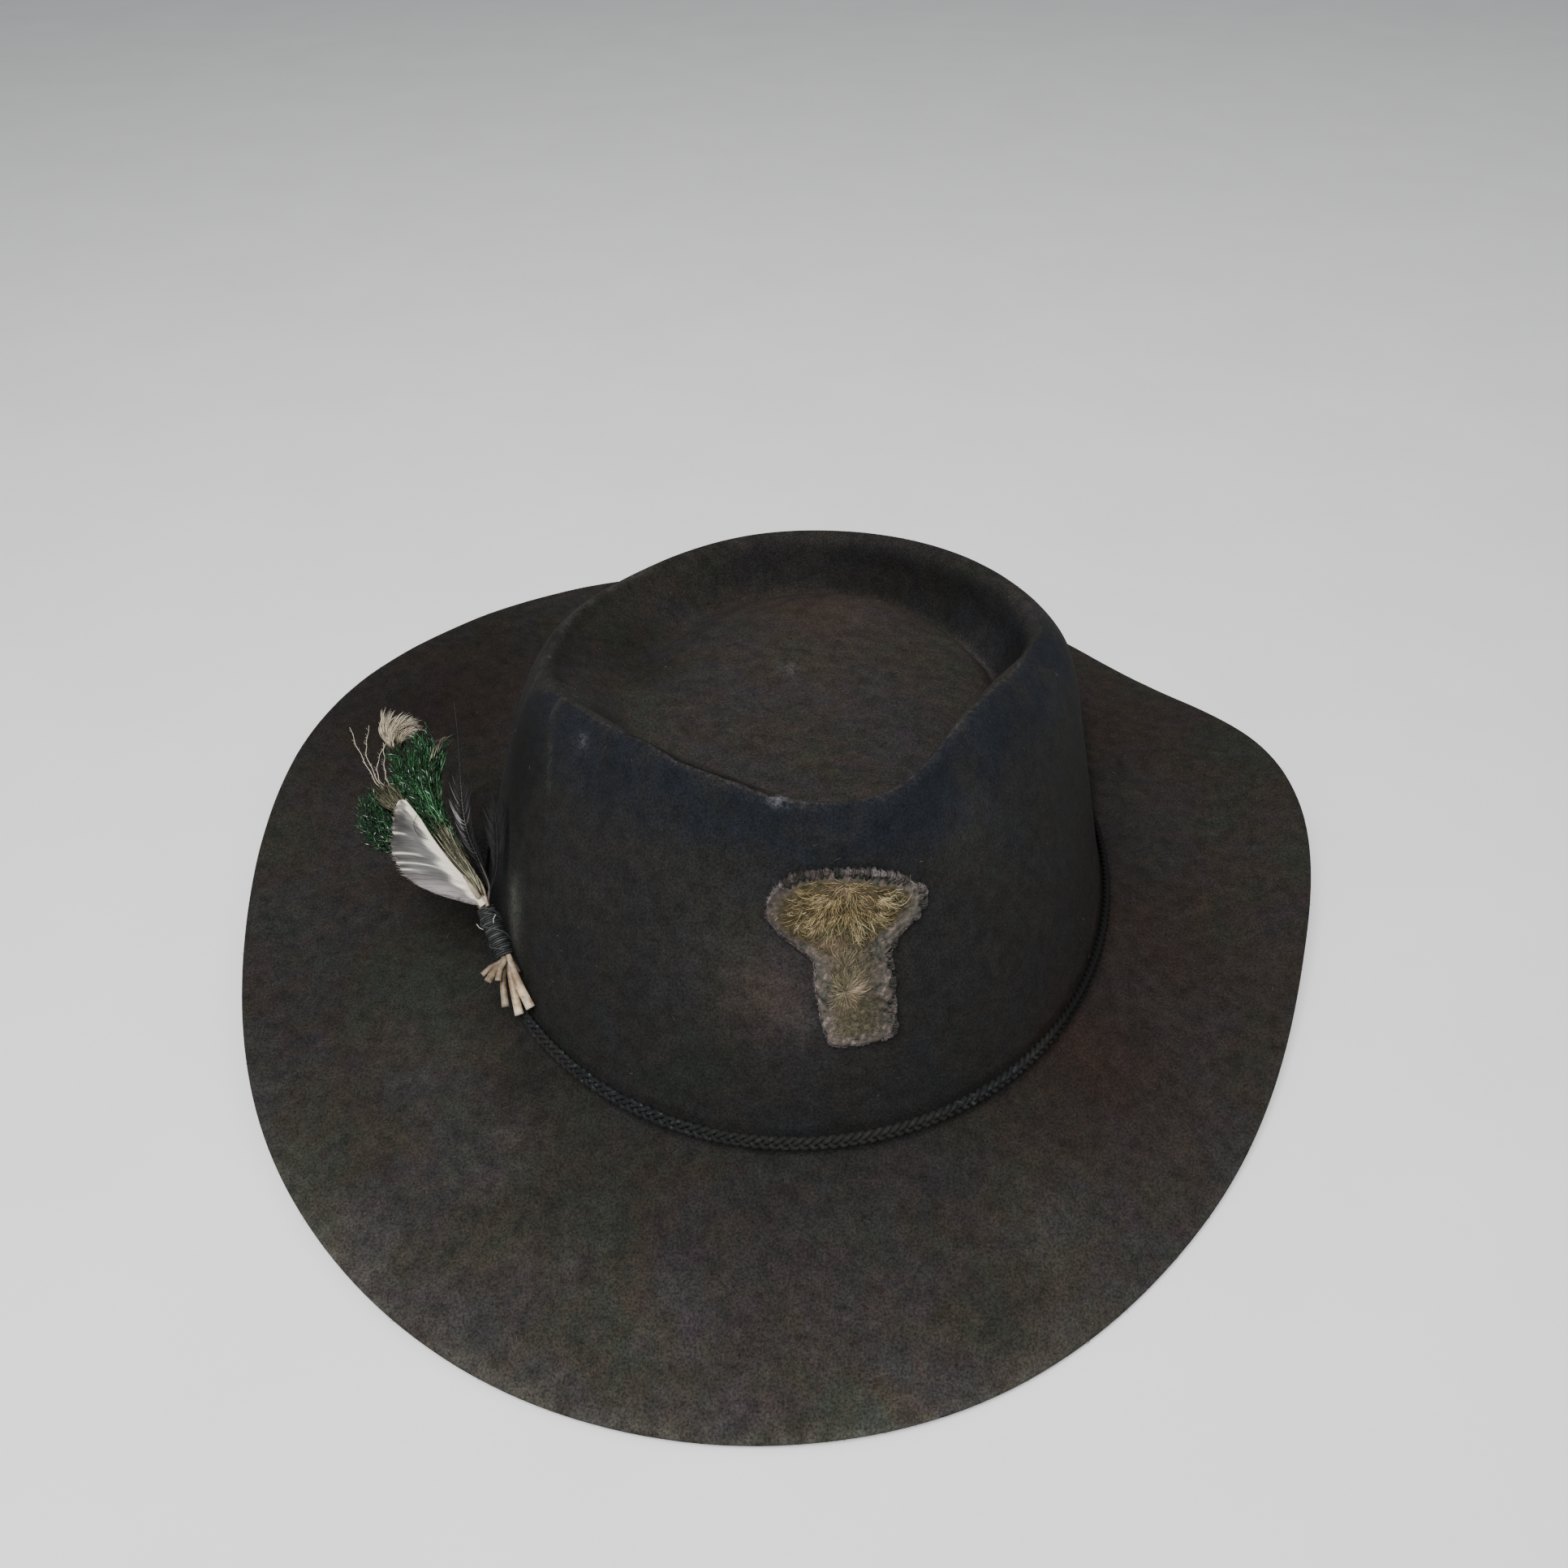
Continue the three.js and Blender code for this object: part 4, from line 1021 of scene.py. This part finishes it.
def white_barbs(shaft, edge, material, chance):
    """The shaft, the loose barbs that stand over the vane, and one dark hair across it."""
    strands = Strands("pale", "pink", "barb", "across")
    plain = {"pink": 0.0, "barb": 0.0, "across": 0.0}
    strands.tube(in_bundle(shaft), np.linspace(1.0, 0.18, 200) * MM, 7, up=OUT, flat=0.6, pale=1.0, **plain)
    radii = 0.07 * MM * np.array([0.8, 1, 1, 0.8, 0.3])
    for _ in range(LOOSE_WHITE_BARBS):
        near, far = barb_ends(shaft, edge, chance.random())
        s = np.linspace(chance.uniform(0.6, 0.9), chance.uniform(1.0, 1.07), 5)[:, None]
        barb = near + (far - near) * s + np.array((0, 0, 0.25))
        strands.tube(in_bundle(barb), radii, 3, pale=chance.uniform(0.3, 0.85), **plain)
    hair = smooth_line([(28, -6.6, 6.8), (30, -8.2, 7.4), (33, -8.4, 7.2), (36, -6.4, 6)], 16)
    strands.tube(in_bundle(hair), 0.1 * MM, 4, pale=-0.6, **plain)
    return strands.piece("white_feather_shaft", material)


def pale_barb():
    """Feather keratin: silky white to grey, in fine barbs 0.4 mm apart, with a pinkish cast low down."""
    keratin = new_material("pale_barb")
    across = add_node(keratin, "Math", operation="MULTIPLY", Value="across", Value_001=0.08)
    place = add_node(keratin, "CombineXYZ", X="barb", Y=across)
    barbs = add_node(keratin, "TexNoise", Vector=place, Scale=1 / (0.4 * MM), Detail=2.0)
    stops = ((0.0, "#32302e"), (0.4, "#585552"), (0.7, "#97928b"), (1.0, "#f0e7d4"))
    base = lay_over(keratin, add_node(keratin, "ValToRGB", Fac="pale", stops=stops), "#93868a", "pink", 0.6)
    streaks = add_node(keratin, "ValToRGB", Fac=barbs, stops=((0.3, "#b2b2b2"), (0.65, "#ffffff")))
    dark = add_node(keratin, "MapRange", Value="pale", From_Min=-0.1, From_Max=-0.5)
    base = lay_over(keratin, darken(keratin, base, streaks), "#2b211c", dark)
    relief = add_node(keratin, "Bump", Height=barbs, Strength=0.35, Distance=0.2 * MM)
    return finish(keratin, Base_Color=base, Normal=relief, Roughness=0.5, Specular_IOR_Level=0.4)


# Locks of the herl tufts: along, side, out, width and thickness in mm
LARGE_HERL = (
    ((20, 0.2, 0.3, 2.6, 1.6), (28, -1.9, 0, 4.6, 2.6), (35, -3.2, 0, 6.8, 3.8),
     (42, -3.6, 0.2, 9.2, 4.8), (48, -3, 0.6, 11.4, 5.4), (54, -0.8, 0.6, 11.4, 4.6), (59, 0, 0.4, 7, 3)),
    ((32, -3, 0, 4, 3), (39, -4.4, 0, 4.6, 3), (45.5, -7.2, 0.4, 4.6, 2.8), (51.4, -9, 0.6, 2.6, 1.6)),
    ((36, -3.4, 0.4, 5, 3.4), (45, -4.4, 0.8, 5.6, 3.4), (52, -5.4, 1.4, 4.8, 3),
     (58.6, -6, 1.2, 2.6, 1.6)),
    ((38, -2, 0.4, 5, 3), (49, -0.6, 0.8, 6.4, 3.4), (55, 1.2, 0.8, 5, 2.8), (61, 2.6, 0.4, 3, 1.6)),
    ((34, -1.4, 0.2, 3, 2), (41, -1, 0.4, 4.4, 3), (48, 1.6, 0.4, 4.8, 3), (52, 5, 0.2, 3.2, 2),
     (54.6, 8, 0, 2, 1.4)),
)
SMALL_HERL = (
    ((22, -7, -0.8, 1.8, 1.4), (28, -11, -0.8, 4, 2.2), (33, -15.4, -0.5, 7, 3.4),
     (39, -16.4, -0.4, 9.4, 3.8), (45, -15.8, -0.4, 8, 3), (49.5, -15, -0.4, 4, 2.4)),
    ((28, -11, -0.8, 3, 2), (31.4, -14.8, -0.8, 4, 2.4), (34, -18.6, -0.8, 2.8, 1.6)),
    ((32, -13.6, -0.6, 4, 2.6), (38, -17.8, -0.6, 4.8, 2.6), (43, -20.4, -0.8, 2.8, 1.6)),
    ((34, -13.6, -0.4, 4, 3), (42, -14, -0.5, 5.6, 2.6), (48.6, -13.6, -0.8, 4.4, 1.6)),
)
OLIVE_TAIL = ((9, 0.4, 2.4, 1.2, 1), (14, 0.2, 2.4, 2, 1.2), (20, -1.2, 2.4, 2.6, 1.4),
              (27, -2.4, 2, 3, 1.6), (34, -3, 1.6, 4, 2))
WISPS = ((45, 0.6, 1.6, 2, 1), (51, 3.4, 1.8, 2.6, 1.2), (54.6, 6.6, 1.4, 3, 1.2), (55.2, 9.8, 0.8, 2.6, 1))
OLIVE_CROWN = ((39, -9.5, 2.4, 3, 1.4), (42, -10.6, 2.2, 5.4, 2.2), (46, -11.8, 1.6, 6, 2.2),
               (50.5, -13, 0.8, 4.4, 1.6))


def herl_tuft(locks, strand_count, barbule_count, chance):
    """A mop of peacock herl: wavy strands, each hung with short barbules, a few of them painted as glints."""
    strands = Strands("shade", "tip")
    paths = []
    radii = 0.11 * MM * np.array([0.6, 1, 1, 1, 1, 1, 1, 1, 0.7, 0.3])
    for k in range(strand_count):
        rows = locks[0] if k % 2 == 0 else locks[1 + (k // 2) % (len(locks) - 1)]
        first = chance.uniform(0, 0.5)
        path = strand_in_lock(rows, chance, first, min(1, first + chance.uniform(0.35, 0.65)), 10, 2.0)
        phase, wave = chance.uniform(0, 6), chance.uniform(0.15, 0.5)
        path[:, 1] += wave * np.sin(phase + path[:, 0] * 0.9)
        path[:, 2] += wave * np.cos(phase * 2 + path[:, 0] * 1.1)
        paths.append(path)
        tip = np.linspace(first, 1, 10)
        strands.tube(in_bundle(path), radii, 3, shade=chance.random() ** 3 * 0.8, tip=tip)
    radii = MM * np.array([0.06, 0.09, 0.03])
    for _ in range(barbule_count):
        path = chance.choice(paths)
        k = chance.randrange(2, 9)
        way = unit(path[k] - path[k - 1])
        spread_way = np.array([chance.uniform(-0.3, 0.4), chance.gauss(0, 0.5), chance.gauss(0.1, 0.5)])
        length = chance.uniform(0.7, 1.7)
        t = np.array([0, 0.5, 1])[:, None]
        line = path[k] + (way + spread_way * (0.4 + 0.6 * t)) * length * t
        strands.tube(in_bundle(line), radii, 3, shade=chance.random() ** 3.6, tip=0.6 + 0.4 * k / 9)
    return strands


def add_olive(strands, rows, count, chance, cream):
    """Loose olive and cream fibres, paler as cream is higher."""
    radii = 0.11 * MM * np.array([0.5, 1, 1, 1, 1, 1, 0.8, 0.3])
    for _ in range(count):
        first = chance.uniform(0, 0.5)
        path = strand_in_lock(rows, chance, first, min(1, first + chance.uniform(0.3, 0.55)), 8, 1.3)
        strands.tube(in_bundle(path), radii, 3, shade=chance.random() ** 1.3 * cream, tip=0.0)


def peacock_herl(name, dull, dark, bright):
    """Peacock herl: dark green barbules, a random few painted bright green to near-white as glints, and olive
    ones near the root."""
    herl = new_material(name)
    # The brightest shades are painted glints
    green = ((0.0, dark), (0.45, bright), (0.78, dull), (1.0, "#e4ecde"))
    olive = ((0.0, "#2b2a1c"), (0.6, "#5e5c46"), (1.0, "#a5a189"))
    green, olive = (add_node(herl, "ValToRGB", Fac="shade", stops=stops) for stops in (green, olive))
    from_root = add_node(herl, "MapRange", Value="tip", From_Min=0.1, From_Max=0.45)
    return finish(herl, Base_Color=lay_over(herl, olive, green, from_root), Metallic=0.35, Roughness=0.42)


def green_herls(chance):
    """The large tuft and the small one, each with its olive fibres."""
    large = herl_tuft(LARGE_HERL, 560, 4600, chance)
    add_olive(large, OLIVE_TAIL, 130, chance, 1.25)
    add_olive(large, WISPS, 16, chance, 1.3)
    large_herl = peacock_herl("large_peacock_herl", "#4f8c5b", "#060b06", "#205a2b")
    large_piece = large.piece("large_herl_tuft", large_herl)
    small = herl_tuft(SMALL_HERL, 420, 3000, chance)
    add_olive(small, OLIVE_CROWN, 190, chance, 0.75)
    small_herl = peacock_herl("small_peacock_herl", "#4f8058", "#060a06", "#1a4822")
    return large_piece, small.piece("small_herl_tuft", small_herl)


def plain_fibre(name, number, roughness, gloss, *stops):
    """A fibre whose colour follows a number kept along it."""
    fibre = new_material(name)
    base = add_node(fibre, "ValToRGB", Fac=number, stops=stops)
    return finish(fibre, Base_Color=base, Roughness=roughness, Specular_IOR_Level=gloss)


# The down tuft fans from its base: angle from along towards the crown, in degrees, and length in mm
DOWN_BASE = (57, -5, -3.4)
DOWN_FAN = ((-12, 6.6), (-7, 9), (-3, 14.5), (2, 9.4), (10, 10.8), (22, 11.8), (32, 11.6), (40, 10.8),
            (47, 9))
DOWN_CLUMPS = 96
BARBS_IN_CLUMP = 15
# The long thin barbs beside it: along, side, out
LONG_BARBS = (
    ((47.5, -12.6, 0), (51.3, -13.4, 0.7), (56.9, -13.9, 0.8), (62.5, -14.3, 0.4), (68.5, -14.1, -0.2)),
    ((47.5, -12.2, 0.3), (52.1, -12.8, 1), (58.6, -12.8, 1), (62.4, -11.4, 0.6), (66.9, -9.3, 0)),
    ((48, -11.6, 0.3), (51.9, -12.2, 0.8), (56.4, -10.3, 0.8), (60.2, -7, 0.2)),
    ((48.5, -10.6, 0), (52, -10.2, 0.7), (56.8, -8.7, 0.6), (60.6, -7.6, 0.2)),
)


def down_tuft(chance):
    """A fluffy tan and cream tuft at the tip, and the long thin barbs beside it."""
    strands = Strands("pale")
    angles, lengths = zip(*DOWN_FAN)
    radii = 0.085 * MM * np.array([0.7, 1, 1, 1, 1, 1, 0.8, 0.3])
    for clump in range(DOWN_CLUMPS):
        angle = angles[0] + (angles[-1] - angles[0]) * chance.random()
        reach = np.interp(angle, angles, lengths) * (1 - 0.5 * chance.random() ** 1.4)
        rise = chance.uniform(-1.2, 3)
        bend = chance.uniform(16, 44)
        tone = chance.uniform(-0.2, 0.1)
        for _ in range(BARBS_IN_CLUMP):
            u = np.linspace(chance.uniform(0.0, 0.5), chance.uniform(0.75, 1.02), 8)
            turn = angle - 0.6 * bend + chance.gauss(0, 4) + bend * u ** 2 + chance.gauss(0, 5) * u ** 2
            turn = np.radians(turn)
            thick = chance.gauss(0, 0.6)
            path = DOWN_BASE + np.stack([
                reach * u * np.cos(turn),
                reach * u * np.sin(turn) + 0.4 * u * np.sin(8 * u + clump),
                rise * np.sin(u * 2.4) + (thick + 0.6 + 0.4 * np.cos(9 * u + clump)) * u,
            ], 1)
            pale = np.clip(1.2 * u - 0.15 + tone + chance.uniform(-0.15, 0.15), 0, 1)
            strands.tube(in_bundle(path), radii, 3, pale=pale)
    for line in LONG_BARBS:
        path = smooth_line(line, 26)
        path[:, 1] += 0.15 * np.sin(np.arange(26) * 0.9)
        strands.tube(in_bundle(path), np.linspace(0.1, 0.04, 26) * MM, 4, pale=np.linspace(0.75, 1.1, 26))
        for _ in range(34):
            k = chance.randrange(1, 24)
            way = np.array([0.9, chance.choice((-0.4, 0.4)), chance.uniform(-0.2, 0.2)])
            twig = path[k] + way * np.array([0, 0.5, 1])[:, None] * chance.uniform(0.5, 1.1)
            strands.tube(in_bundle(twig), 0.035 * MM, 3, pale=chance.uniform(0.3, 0.9))
    return strands.piece("tan_down_tuft", tan_down_fibre())


def tan_down_fibre():
    """Bird's down: brown and tan at its base and cream where it fluffs out, quite matt."""
    stops = ((0.0, "#2b241c"), (0.35, "#64594a"), (0.65, "#ab9f88"), (1.0, "#dad1bf"))
    return plain_fibre("tan_down_fibre", "pale", 0.9, 0.2, *stops)


# Each dark feather has its shaft (along, side, out), and rows of its vane: the share of the
# shaft, the vane's half width there, and how pale its left barbs are
SLENDER = ((9, 2, 0), (12, 3.1, 0.2), (19, 3.3, 0.4), (27, 3.3, 0.6), (34, 4.6, 0.6), (41, 6.7, 0.4),
           (48, 9, 0.2), (57, 11.8, 0), (65, 14, -0.2))
SLENDER_VANE = ((0, 0.2, 0.1), (0.25, 1, 0.1), (0.4, 2.6, 0.45), (0.5, 3.6, 0.7), (0.6, 3.4, 0.55),
                (0.7, 1.8, 0.3), (0.8, 0.6, 0.2), (1, 0.15, 0.1))
BROAD = ((10.5, 2.7, 0.2), (14.5, 6.4, 3.6), (20, 9, 5.4), (27, 11.4, 5.8), (33.5, 13, 5.4))
BROAD_VANE = ((0, 0.3, 0), (0.25, 1.8, 0), (0.5, 3, 0.15), (0.75, 3, 0.25), (1, 1, 0.1))


def dark_feathers(chance):
    """Two sparse dark feathers beside the crown, one long and thin with a greyish vane."""
    strands = Strands("pale")
    radii = 0.11 * MM * np.array([0.8, 1, 1, 1, 0.7, 0.3])
    u = np.linspace(0, 1, 6)
    for line, vane, count in ((SLENDER, SLENDER_VANE, 420), (BROAD, BROAD_VANE, 140)):
        path = smooth_line(line, 60)
        shares, halves, pales = zip(*vane)
        along_pale = 0.3 + 0.4 * np.interp(np.linspace(0, 1, 60), shares, pales)
        strands.tube(in_bundle(path), np.linspace(0.17, 0.05, 60) * MM, 5, pale=along_pale)
        right_share = 0.7 if line is SLENDER else 1
        for k in range(count):
            t = (k + 0.5) / count
            n = int(t * 52)
            hand, share, light = (1, right_share, 1.0) if k % 2 else (-1, 1, 1.8)
            half = np.interp(t, shares, halves) * chance.uniform(0.6, 1.15) * share
            along = path[n, 0] + half * 2.4 * u ** 1.2
            side = np.interp(along, path[:, 0], path[:, 1]) + hand * half * u ** 0.7
            out = np.interp(along, path[:, 0], path[:, 2]) - 0.25 * half * u ** 2
            out = out + chance.uniform(-0.15, 0.15)
            pale = light * np.interp(t, shares, pales) * chance.random() ** 1.9
            barb = in_bundle(np.stack([along, side, out], 1))
            strands.tube(barb, radii, 3, up=OUT, flat=0.4, pale=pale)
    return strands.piece("dark_feather_barbs", dark_barb())


def dark_barb():
    """Dark feather: near-black barbs with a greyish purple bloom."""
    return plain_fibre("dark_barb", "pale", 0.6, 0.35, (0.0, "#0d0c0c"), (0.45, "#2c2a2b"), (1.0, "#8f8a8a"))


BINDING_TURNS = 23
# The binding's loose ends (along, side, out), and their shade
LOOSE_ENDS = (
    (((1.6, 0.4, 2.7), (2.6, 0.8, 3), (3.4, 1.7, 2.9)), 2.0),
    (((1.4, -2.6, 1.6), (2.2, -3.3, 1.9), (3.4, -3.6, 1.9)), 2.0),
    (((-7, -2, 1.4), (-12.8, -6.4, 1.2), (-13.7, -9.6, 0.4), (-15.5, -13.1, -0.6)), 0.0),
    (((-7, -1.6, 1.6), (-11.5, -7, 1.4), (-12.4, -10.8, 0.6), (-12.8, -14, -0.4)), 0.2),
)


def round_bundle(along, radius, turn):
    """A line that winds round the bundle."""
    return in_bundle(np.stack([along, radius * np.cos(turn), radius * np.sin(turn)], 1))


def binding(chance):
    """Waxed black thread wound round the quills, crossed at the middle, with loose ends."""
    strands = Strands("shade")
    t = np.linspace(0, 1, BINDING_TURNS * 16)
    radius = 1.95 + 0.4 * np.sin(math.pi * t) ** 0.5 + 0.06 * np.sin(t * 40)
    wound = round_bundle(-6.9 + 13.8 * t, radius, 2 * math.pi * BINDING_TURNS * t)
    shade = 0.22 + 0.16 * np.sin(t * 50) + 0.1 * np.sin(t * 331)
    strands.tube(wound, 0.31 * MM, 5, up=ALONG, shade=shade)
    t = np.linspace(0, 1, 46)
    for start, end, spin in ((-6, 5.4, 2.2), (5.8, -5.4, -1.8), (-3, 6.4, 1.6)):
        turn = chance.uniform(0, 6) + spin * math.pi * t
        crossed = round_bundle(start + (end - start) * t, 2.5 + 0.2 * np.sin(math.pi * t), turn)
        strands.tube(crossed, 0.24 * MM, 5, up=ALONG, shade=chance.uniform(0.25, 0.5))
    for ends, shade in LOOSE_ENDS:
        strands.tube(in_bundle(smooth_line(ends, 12)), 0.1 * MM, 4, up=OUT, shade=shade)
    return strands.piece("binding_wrap", waxed_thread())


def waxed_thread():
    """Waxed linen thread, black with a grey bloom on its high strands."""
    stops = ((0.0, "#101010"), (0.3, "#242525"), (0.5, "#474948"), (1.0, "#b9b8b2"))
    return plain_fibre("waxed_thread", "shade", 0.6, 0.4, *stops)


# Fuzz and lint

FUZZ_FIBRES = 6500


def felt_fuzz(felt, chance):
    """Short loose fibres that stand off the felt, and a few pale lint specks."""
    faces = felt.data.polygons
    areas = np.array([face.area for face in faces])
    picks = np.searchsorted(np.cumsum(areas) / areas.sum(), [chance.random() for _ in range(FUZZ_FIBRES)])
    strands = Strands("pale")
    radii = MM * np.array([0.05, 0.05, 0.02])
    t = np.array([-0.1, 0.5, 1])[:, None]
    for pick in picks:
        face = faces[min(int(pick), len(areas) - 1)]
        normal = np.array(face.normal)
        lie = unit(np.cross(normal, np.array([chance.gauss(0, 1) for _ in range(3)])))
        length = chance.uniform(0.5, 1.5) * MM
        path = np.array(face.center) + length * (lie * t + normal * (0.45 * t - 0.25 * t * t))
        strands.tube(path, radii, 3, pale=chance.random() ** 9)
    return strands.piece("felt_fuzz", wool_fibre())


def wool_fibre():
    """Single wool fibres, drawn twice their real thickness so that they show."""
    stops = ((0.0, "#282622"), (0.6, "#403c37"), (1.0, "#6f6b64"))
    return plain_fibre("wool_fibre", "pale", 0.9, 0.2, *stops)


# Camera, floor and light

# Lamps: name, place in metres, size in metres and power in watts
LAMPS = (("key", (-0.15, -0.42, 0.9), 0.55, 14.5), ("fill", (0.6, 0.4, 1.6), 1.2, 6))
LIT_PLACE = (0, -0.05, 0.03)


def new_in_scene(name, data):
    made = bpy.data.objects.new(name, data)
    bpy.context.scene.collection.objects.link(made)
    return made


def studio():
    """The photograph's camera, and the light floor, two lamps and pale surroundings."""
    camera = new_in_scene("camera", bpy.data.cameras.new("camera"))
    camera.location = CAMERA_PLACE
    camera.rotation_euler = (math.radians(90 - CAMERA_DOWN_DEGREES), 0, 0)
    camera.data.lens = CAMERA_LENS_MM
    camera.data.sensor_width = 36
    camera.data.clip_start = 0.01
    bpy.context.scene.camera = camera
    bpy.ops.object.select_all(action="DESELECT")
    bpy.ops.mesh.primitive_plane_add(size=12)
    floor = bpy.context.object
    floor.name = "floor"
    floor.data.materials.append(pale_floor())
    for name, place, size, watts in LAMPS:
        lamp = new_in_scene(name, bpy.data.lights.new(name, "AREA"))
        lamp.location = place
        lamp.rotation_euler = (Vector(LIT_PLACE) - Vector(place)).to_track_quat("-Z", "Y").to_euler()
        lamp.data.size = size
        lamp.data.energy = watts
    world = bpy.data.worlds.new("studio")
    world.use_nodes = True
    sky = world.node_tree.nodes["Background"].inputs
    sky["Color"].default_value = colour("#f4f6fa")
    sky["Strength"].default_value = 0.3
    bpy.context.scene.world = world


def pale_floor():
    """A sheet of near-white paper under the hat, very slightly uneven."""
    paper = new_material("pale_floor")
    base = mottle(paper, 60, 3, 0.55, (0.3, "#f0f0f0"), (0.7, "#f5f5f5"))
    return finish(paper, Base_Color=base, Roughness=0.8)


def stand_for(piece, slot, *nodes):
    """Puts a piece on the hat's one body, in place of the solids that it dresses. Its slot is not used."""
    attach(piece, "root")
    if nodes:
        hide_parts(*nodes)


chance = random.Random(11)
studio()
felt = felt_hat()
wall = FrontWall(surface_tree(felt))
stand_for(felt, "wool_felt", "felt_body")
stand_for(braid_cord(), "braid", "base_braid")
patch = patch_cloth(wall)
stitches = edge_stitches(wall, chance)
wires = gold_wires(wall, chance)
stand_for(patch, "patch_cloth", "patch_backing")
stand_for(stitches, "patch_cloth")
stand_for(wires, "bullion", "bullion_field")
stand_for(binding(chance), "binding_thread", "thread_binding")
stand_for(quills(), "pale_feather")
vane, shaft = white_feather(chance)
stand_for(vane, "pale_feather", "white_feather")
stand_for(shaft, "pale_feather")
large_herl, small_herl = green_herls(chance)
stand_for(large_herl, "green_herl", "large_herl")
stand_for(small_herl, "green_herl", "small_herl")
stand_for(down_tuft(chance), "tan_down", "down_tuft")
stand_for(dark_feathers(chance), "dark_feather", "dark_feathers")
stand_for(felt_fuzz(felt, chance), "wool_felt")
